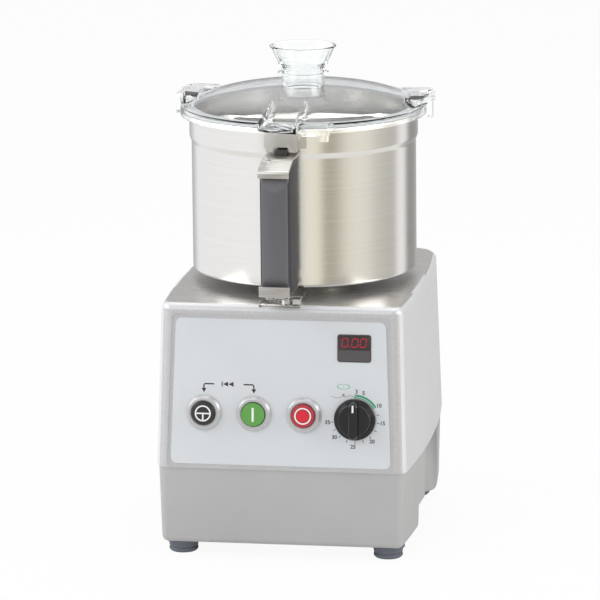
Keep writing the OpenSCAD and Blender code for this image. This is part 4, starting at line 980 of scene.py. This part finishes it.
@dataclass
class Bowl(Assembly):
    """The steel bowl, its handle and the rod in the handle."""

    radius: float = 112.0
    bottom: float = 262.9
    height: float = 160.3
    wall: float = 1.2
    band_out: float = 2.0
    step_z: float = 129.3
    hub_r: float = 18.2
    roll_r: float = 1.6
    strap_z: float = 400.9
    strap_front: float = -172.8
    strap_start: float = -137.0
    strap_t: float = 2.5
    bend_r: float = 15.0
    lip: float = 4.5
    cuts: int = 12
    gap: float = 0.2
    grip_half: float = 14.4
    grip_back: float = -126.4
    grip_corner: float = 3.0
    grip_steps: int = 28
    grip_crown: float = 4.4
    grip_facets: Point2 = (290.5, 372.5)
    facet_h: float = 11.0
    grooves: tuple[float, ...] = (-157.5, -151.5, -145.5, -139.5)

    def build(self) -> None:
        """Builds the shell and the handle."""
        self.shell()
        self.recast_piece("handle_channel", Body.BOWL, CHANNEL_STEEL, 0.3)
        self.top_strap()
        self.recast_piece("handle_foot_strap", Body.BOWL, STRAP_STEEL, 0.35, 3)
        self.grip()
        self.bolt()
        self.recast_piece("safety_rod", Body.ROD, BLACK_MATTE, 0.3)

    def shell(self) -> None:
        """Turns the bowl: tight bottom corner, smooth step below the upper band, rolled rim."""
        r, z, top, t = self.radius, self.bottom, self.bottom + self.height, self.wall
        out, step, hub, roll_r = r + self.band_out, self.bottom + self.step_z, self.hub_r, self.roll_r
        outer = [(hub, z), (r, z), (r, step), (out, step + 5.3), (out, top - 2.0 * roll_r)]
        roll = arc((out, top - roll_r), roll_r, -90.0, 90.0, 10)
        inner = [(out - t, top), (out - t, step + 5.1), (r - t, step - 0.2), (r - t, z + t), (hub, z + t)]
        profile = eased(outer + roll + inner,
                        [0, 3.6, 7.0, 6.0, 0.3, *([0] * len(roll)), 0.4, 6.0, 7.0, 4.8, 0], 7)
        wall = Shape().lathe(profile, 288)
        self.show("bowl_wall", wall, SHAFT, Body.BOWL, BOWL_STEEL, ("bowl_shell",), 40.0)

    def strap_path(self) -> list[Point2]:
        """Returns the strap's upper line as (y, z): flat, a slow fall, a tight fold and the lip."""
        return eased([(self.strap_start, self.strap_z), (self.strap_start - 9.0, self.strap_z),
                      (self.strap_front, self.strap_z - 7.7), (self.strap_front, self.strap_z - 14.1)],
                     [0, 60.0, 3.2, 0], 10)

    def strap_spot(self, path: Sequence[Point2], share: float, depth: float) -> Point2:
        """Returns the spot at a share of the path's length, that far below its upper side."""
        points = [Vector(p) for p in path]
        lengths = [(b - a).length for a, b in zip(points, points[1:])]
        left = share * sum(lengths)
        for here, beyond, length in zip(points, points[1:], lengths):
            if left <= length:
                break
            left -= length
        along = (beyond - here).normalized()
        spot = here + along * min(left, length) + Vector((-along.y, along.x)) * depth
        return spot.x, spot.y

    def top_strap(self) -> None:
        """Bends a copy of the strap, whose front falls slowly to a fold and a short lip."""
        shape = recast("handle_top_strap")
        radius, front, high = self.bend_r, self.strap_front, self.strap_z
        flat, bend = self.strap_start - (front + radius), radius * math.pi / 2.0
        for i in range(self.cuts):
            spot = self.strap_start - flat * i / self.cuts
            bmesh.ops.bisect_plane(shape.bm, geom=[*shape.bm.verts, *shape.bm.edges, *shape.bm.faces],
                                   plane_co=(0.0, spot, 0.0), plane_no=(0.0, 1.0, 0.0))
        path = self.strap_path()
        for vert in shape.bm.verts:
            y, z = vert.co.y, vert.co.z
            if y > self.strap_start:
                continue
            if y > front + radius and z > high - radius:
                reach, depth = self.strap_start - y, high - z
            elif z > high - radius:
                dy, dz = front + radius - y, z - high + radius
                reach, depth = flat + radius * math.atan2(dy, dz), radius - math.hypot(dy, dz)
            else:
                reach, depth = flat + bend + high - radius - z, y - front
            share = min(1.0, reach / (flat + bend + self.lip))
            vert.co.y, vert.co.z = self.strap_spot(path, share, depth)
        shape.soften(0.3, 2, 40.0)
        self.show("top_strap", shape, AS_DRAWN, Body.BOWL, STRAP_STEEL, ("handle_top_strap",), 34.0)

    def grip_front(self, x: float, z: float) -> float:
        """Returns how far the grip's front lies behind its foremost line, at a spot across and up it."""
        corner = max(0.0, abs(x) - self.grip_half + self.grip_corner)
        rounding = self.grip_corner - math.sqrt(max(0.0, self.grip_corner ** 2 - corner ** 2))
        crown = self.grip_crown * (x / self.grip_half) ** 2
        beyond = max(z - self.grip_facets[1], self.grip_facets[0] - z, 0.0)
        return max(crown, self.grip_crown / self.facet_h * beyond) + rounding

    def grip_side(self, front: float) -> list[Point2]:
        """Returns one side of the grip's section from front to back, spreading, with its grooves."""
        half, back = self.grip_half, self.grip_back
        side = [(half, front + 6.4)]
        for groove in self.grooves:
            out = half + min(2.0, 2.2 * (groove - front) / 26.0)
            side += [(out - depth, groove + reach)
                     for depth, reach in ((0.0, -0.7), (0.9, -0.2), (0.9, 0.2), (0.0, 0.7))]
        return side + [(half + 2.0, back - 5.0), (half + 1.2, back - 1.6), (half - 2.5, back)]

    def grip(self) -> None:
        """Builds the grip: a crowned front that a flat cuts at each end, and grooved sides painted darker as
        shade.
        """
        path, front, steps = self.strap_path(), self.strap_front + self.strap_t, self.grip_steps
        side = self.grip_side(front)
        heights = [272.6, 276.0, *(279.5 + i for i in range(13)), *(300.0 + 10.0 * i for i in range(8))]
        heights += [*(371.0 + i for i in range(18)), 391.0, 394.0, 397.8]
        across = [-self.grip_half * math.cos(math.pi * i / steps) for i in range(steps + 1)]
        sections = []
        for z in heights:
            outline = [(x, front + self.grip_front(x, z)) for x in across]
            outline += side + [(-x, y) for x, y in reversed(side)]
            sections.append([(x, y, min(z, self.under_strap(path, y))) for x, y in outline])
        shape = Shape().loft(sections)
        made = self.show("grip_body", shape, AS_DRAWN, Body.BOWL, GRIP, ("handle_grip",), 15.0)
        # Faces that look sideways get the darker copy of the grip plastic: painted shade on the grip's
        # sides.
        made.data.materials.append(GRIP_PAINTED_SHADE.material())
        for face in made.data.polygons:
            if abs(face.normal.x) > 0.8:
                face.material_index = 1

    def bolt(self) -> None:
        """Copies the grip's bolt, with its end flush in the strap."""
        path = self.strap_path()
        shape = recast("grip_bolt")
        flush = self.strap_t + self.gap + 0.04
        for vert in shape.bm.verts:
            if vert.co.z > self.strap_z - self.strap_t + 0.1:
                vert.co.z = self.under_strap(path, vert.co.y) + flush
        self.show("flush_bolt", shape, AS_DRAWN, Body.BOWL, STRAP_STEEL, ("grip_bolt",))

    def under_strap(self, path: Sequence[Point2], y: float) -> float:
        """Returns the height just below the strap at that distance out."""
        line = path[::-1]
        for (y0, z0), (y1, z1) in zip(line, line[1:]):
            if y0 <= y <= y1 and y1 > y0:
                return z0 + (z1 - z0) * (y - y0) / (y1 - y0) - self.strap_t - self.gap
        return self.strap_z - self.strap_t - 2.0 * self.gap


@dataclass
class Cutter(Assembly):
    """The blades and their hub."""

    def build(self) -> None:
        """Shows the cutter's nodes with ground edges."""
        for node, finish, soften in (("lower_blade", BLADE_STEEL, 0.15), ("upper_blade", BLADE_STEEL, 0.15),
                                     ("cutter_cap", BLACK_MATTE, 0.8), ("blade_nut", CUTTER_STEEL, 0.5)):
            self.recast_piece(node, Body.CUTTER, finish, soften)


@dataclass
class Lid(Assembly):
    """The clear lid and the funnel in its neck."""

    neck_z: float = 459.6
    bore_r: float = 17.7
    spout_r: float = 19.3
    mouth_r: float = 33.1
    mouth_h: float = 26.99

    def build(self) -> None:
        """Builds the dome and the funnel."""
        mesh = evened(recast("lid_shell", merge=False).mesh("lid_shell_skin", AS_DRAWN, 35.0))
        self.piece("lid_shell_skin", mesh, Body.LID, CLEAR_LID, ("lid_shell",))
        self.funnel()

    def funnel(self) -> None:
        """Turns the funnel: spout, waist, step and beaded mouth."""
        z, bore, spout, mouth = self.neck_z, self.bore_r, self.spout_r, self.mouth_r
        top = z + self.mouth_h
        profile = eased(
            [(bore, z - 15.0), (spout, z - 15.0), (spout, z), (21.2, z), (21.4, z + 3.3), (22.6, z + 8.0),
             (24.8, z + 8.2), (24.8, z + 9.8), (31.6, z + 25.2), (mouth, z + 25.4), (mouth, top),
             (mouth - 2.1, top), (30.0, z + 25.4), (21.6, z + 9.8), (bore, z + 3.3)],
            [0.4, 0.4, 0.2, 0.5, 0.8, 0.8, 0.5, 0.5, 0.6, 0.7, 0.8, 0.7, 0.8, 2.0, 2.0], 4)
        skin = Shape().lathe(profile, 144)
        self.show("feed_funnel_skin", skin, SHAFT, Body.FUNNEL, CLEAR_FUNNEL, ("funnel",), 50.0)


@dataclass
class Studio:
    """The floor, the lamps, the world and the camera at the photograph's angle."""

    distance: float = 5.05
    target: tuple[float, float, float] = (0.0, SHAFT_Y * MM, 0.2525)
    azimuth: float = 0.1635
    elevation: float = 0.2124
    roll: float = -0.0099
    focal_px: float = 5030.74
    centre_px: Point2 = (305.15, 274.78)
    image_px: float = 600.0
    sensor_mm: float = 36.0
    far: float = 60.0
    floor_half: float = 14.0
    floor_shade: Colour = (0.86, 0.86, 0.86)
    floor_glow: float = 0.94
    lamp_aim: tuple[float, float, float] = (0.0, 0.0, 0.26)
    boxes: tuple[tuple[str, tuple[float, float, float], float, float, Colour], ...] = (
        ("key_box", (-2.4, -0.9, 1.7), 1.8, 30.0, (1.0, 1.0, 1.0)),
        ("front_box", (-1.0, -2.8, 1.9), 1.6, 12.0, (1.0, 1.0, 1.0)),
        ("side_box", (2.5, -0.5, 1.2), 1.6, 24.0, (1.0, 0.995, 0.985)),
        ("top_box", (0.1, 0.5, 2.6), 1.6, 12.0, (1.0, 1.0, 1.0)))
    plain_light: float = 0.6
    ceiling: Colour = (0.95, 0.95, 0.96)
    ceiling_z: Point2 = (0.34, 0.62)
    ground: Colour = (0.88, 0.87, 0.84)
    ground_z: Point2 = (-0.35, -0.6)
    under_glass: float = 1.6
    surround: tuple[tuple[float, Colour], ...] = (
        (-180, (0.55, 0.55, 0.56)), (-150, (0.5, 0.5, 0.52)), (-132, (0.95, 0.95, 0.97)),
        (-36, (1.0, 1.0, 1.0)), (-20, (0.6, 0.6, 0.61)), (4, (0.62, 0.61, 0.59)), (12, (0.95, 0.92, 0.8)),
        (24, (0.9, 0.86, 0.72)), (31, (0.42, 0.4, 0.32)), (40, (0.47, 0.44, 0.37)), (52, (0.78, 0.75, 0.64)),
        (62, (0.86, 0.83, 0.72)), (76, (0.8, 0.78, 0.7)), (90, (0.62, 0.6, 0.55)), (114, (0.52, 0.5, 0.47)),
        (124, (0.97, 0.97, 0.96)), (134, (0.93, 0.93, 0.93)), (142, (0.3, 0.29, 0.28)),
        (162, (0.35, 0.35, 0.34)), (180, (0.55, 0.55, 0.56)))

    def build(self) -> None:
        """Builds the stage round the object."""
        self.camera()
        self.floor()
        self.lamps()
        self.world()

    def camera(self) -> None:
        """Sets the long lens where the photograph was taken from."""
        sa, ca = math.sin(self.azimuth), math.cos(self.azimuth)
        se, ce = math.sin(self.elevation), math.cos(self.elevation)
        sr, cr = math.sin(self.roll), math.cos(self.roll)
        back = Vector((sa * ce, -ca * ce, se))
        right = Vector((ca, sa, 0.0))
        up = back.cross(right)
        across, upright = cr * right + sr * up, -sr * right + cr * up
        data = bpy.data.cameras.new("photo_camera")
        data.sensor_width = self.sensor_mm
        data.lens = self.focal_px * self.sensor_mm / self.image_px
        half = self.image_px / 2.0
        data.shift_x = (half - self.centre_px[0]) / self.image_px
        data.shift_y = (self.centre_px[1] - half) / self.image_px
        data.clip_end = self.far
        camera = placed("photo_camera", data)
        turn = Matrix((across, upright, back)).transposed().to_4x4()
        camera.matrix_world = Matrix.Translation(Vector(self.target) + back * self.distance) @ turn
        bpy.context.scene.camera = camera

    def floor(self) -> None:
        """Lays a wide white floor that keeps the object's soft shadow."""
        mesh = bpy.data.meshes.new("studio_floor")
        corners = [(x, y, 0.0) for x, y in rectangle(2.0 * self.floor_half, 2.0 * self.floor_half)]
        mesh.from_pydata(corners, [], [(0, 1, 2, 3)])
        floor = placed("studio_floor", mesh)
        material = bpy.data.materials.new("studio_floor")
        material.use_nodes = True
        tree = material.node_tree
        tree.nodes.clear()
        cloth, white = tree.nodes.new("ShaderNodeBsdfDiffuse"), tree.nodes.new("ShaderNodeEmission")
        cloth.inputs["Color"].default_value = (*self.floor_shade, 1.0)
        white.inputs["Strength"].default_value = 1.0
        path = tree.nodes.new("ShaderNodeLightPath").outputs
        seen = calc(tree, "MAXIMUM", path["Is Camera Ray"], path["Is Transmission Ray"])
        share = calc(tree, "MULTIPLY", seen, self.floor_glow)
        mix = self.shaded(tree, share, cloth.outputs[0], white.outputs[0])
        tree.links.new(mix, tree.nodes.new("ShaderNodeOutputMaterial").inputs["Surface"])
        mesh.materials.append(material)
        floor.visible_glossy = False

    def lamps(self) -> None:
        """Hangs the soft boxes round the object."""
        for name, spot, size, power, colour in self.boxes:
            data = bpy.data.lights.new(name, "AREA")
            data.size = size
            data.energy = power
            data.color = colour
            lamp = placed(name, data)
            turn = (Vector(self.lamp_aim) - Vector(spot)).to_track_quat("-Z", "Y")
            lamp.matrix_world = Matrix.Translation(spot) @ turn.to_matrix().to_4x4()

    def world(self) -> None:
        """Makes plain light for matt surfaces, and a room of pale and dark bands for metal and glass."""
        world = bpy.data.worlds.new("studio_world")
        bpy.context.scene.world = world
        world.use_nodes = True
        tree = world.node_tree
        tree.nodes.clear()
        link = tree.links.new
        parts = tree.nodes.new("ShaderNodeSeparateXYZ")
        link(tree.nodes.new("ShaderNodeTexCoord").outputs["Generated"], parts.inputs[0])
        height = parts.outputs["Z"]
        upper = self.fade(tree, height, self.ceiling_z, self.bands(tree, parts.outputs), self.ceiling)
        whole = self.fade(tree, height, self.ground_z, upper, self.ground)
        path = tree.nodes.new("ShaderNodeLightPath").outputs
        behind = calc(tree, "GREATER_THAN", path["Transmission Depth"], 0.5)
        scale = calc(tree, "MAXIMUM", calc(tree, "MULTIPLY", behind, self.under_glass), 1.0)
        room = tree.nodes.new("ShaderNodeVectorMath")
        room.operation = "SCALE"
        link(whole, room.inputs[0])
        link(scale, room.inputs["Scale"])
        unmirrored = calc(tree, "LESS_THAN", path["Glossy Depth"], 0.5)
        through = calc(tree, "MULTIPLY", path["Is Transmission Ray"], unmirrored)
        seen = calc(tree, "MAXIMUM", path["Is Camera Ray"], through)
        shiny = calc(tree, "MAXIMUM", path["Is Glossy Ray"], path["Is Transmission Ray"])
        plain, mirrored, white = (tree.nodes.new("ShaderNodeBackground") for _ in range(3))
        plain.inputs["Strength"].default_value = self.plain_light
        for background in (plain, white):
            background.inputs["Color"].default_value = (1.0, 1.0, 1.0, 1.0)
        link(room.outputs[0], mirrored.inputs["Color"])
        inner = self.shaded(tree, shiny, plain.outputs[0], mirrored.outputs[0])
        outer = self.shaded(tree, seen, inner, white.outputs[0])
        link(outer, tree.nodes.new("ShaderNodeOutputWorld").inputs["Surface"])
        bpy.context.scene.view_settings.view_transform = "Standard"

    def bands(self, tree: Tree, parts: bpy.types.bpy_prop_collection) -> Socket:
        """Colours the room by the direction round the object, and returns the colour socket."""
        ahead = calc(tree, "MULTIPLY", parts["Y"], -1.0)
        angle = calc(tree, "ARCTAN2", parts["X"], ahead)
        around = calc(tree, "MULTIPLY_ADD", angle, 0.5 / math.pi, 0.5)
        ramp = tree.nodes.new("ShaderNodeValToRGB")
        elements = ramp.color_ramp.elements
        for i, (degrees, colour) in enumerate(self.surround):
            where = (degrees + 180.0) / 360.0
            element = elements[i] if i < 2 else elements.new(where)
            element.position = where
            element.color = (*colour, 1.0)
        tree.links.new(around, ramp.inputs["Fac"])
        return ramp.outputs["Color"]

    @staticmethod
    def shaded(tree: Tree, share: Socket, low: Socket, high: Socket) -> Socket:
        """Mixes two shaders by a share, and returns the shader socket."""
        mix = tree.nodes.new("ShaderNodeMixShader")
        for source, target in zip((share, low, high), mix.inputs):
            tree.links.new(source, target)
        return mix.outputs[0]

    @staticmethod
    def fade(tree: Tree, height: Socket, span: Point2, below: Socket, beyond: Colour) -> Socket:
        """Turns one colour into another between two heights of the view, and returns the colour socket."""
        share = tree.nodes.new("ShaderNodeMapRange")
        share.inputs["From Min"].default_value, share.inputs["From Max"].default_value = span
        tree.links.new(height, share.inputs["Value"])
        mix = tree.nodes.new("ShaderNodeMix")
        mix.data_type = "RGBA"
        tree.links.new(share.outputs["Result"], mix.inputs["Factor"])
        tree.links.new(below, mix.inputs[MIX_FIRST])
        mix.inputs[MIX_SECOND].default_value = (*beyond, 1.0)
        return mix.outputs[MIX_RESULT]


def dress_nodes() -> None:
    """Gives every CAD node that stays its own finish."""
    for name, finish in NODE_FINISHES.items():
        node = frame["nodes"].get(name)
        if node is None:
            continue
        material = finish.material()
        for place in node.material_slots:
            place.material = material
        LOG.info("%s keeps its shape, finish %s", name, finish.name)


def main() -> None:
    """Builds the stage and every sub-assembly in order."""
    logging.basicConfig(level=logging.INFO, format="%(message)s")
    Studio().build()
    dress_nodes()
    for assembly in (MotorBase(), ControlFront(), Bowl(), Cutter(), Lid()):
        assembly.build()
        LOG.info("%s: %d pieces", type(assembly).__name__, len(assembly.made))


if __name__ == "__main__":
    main()
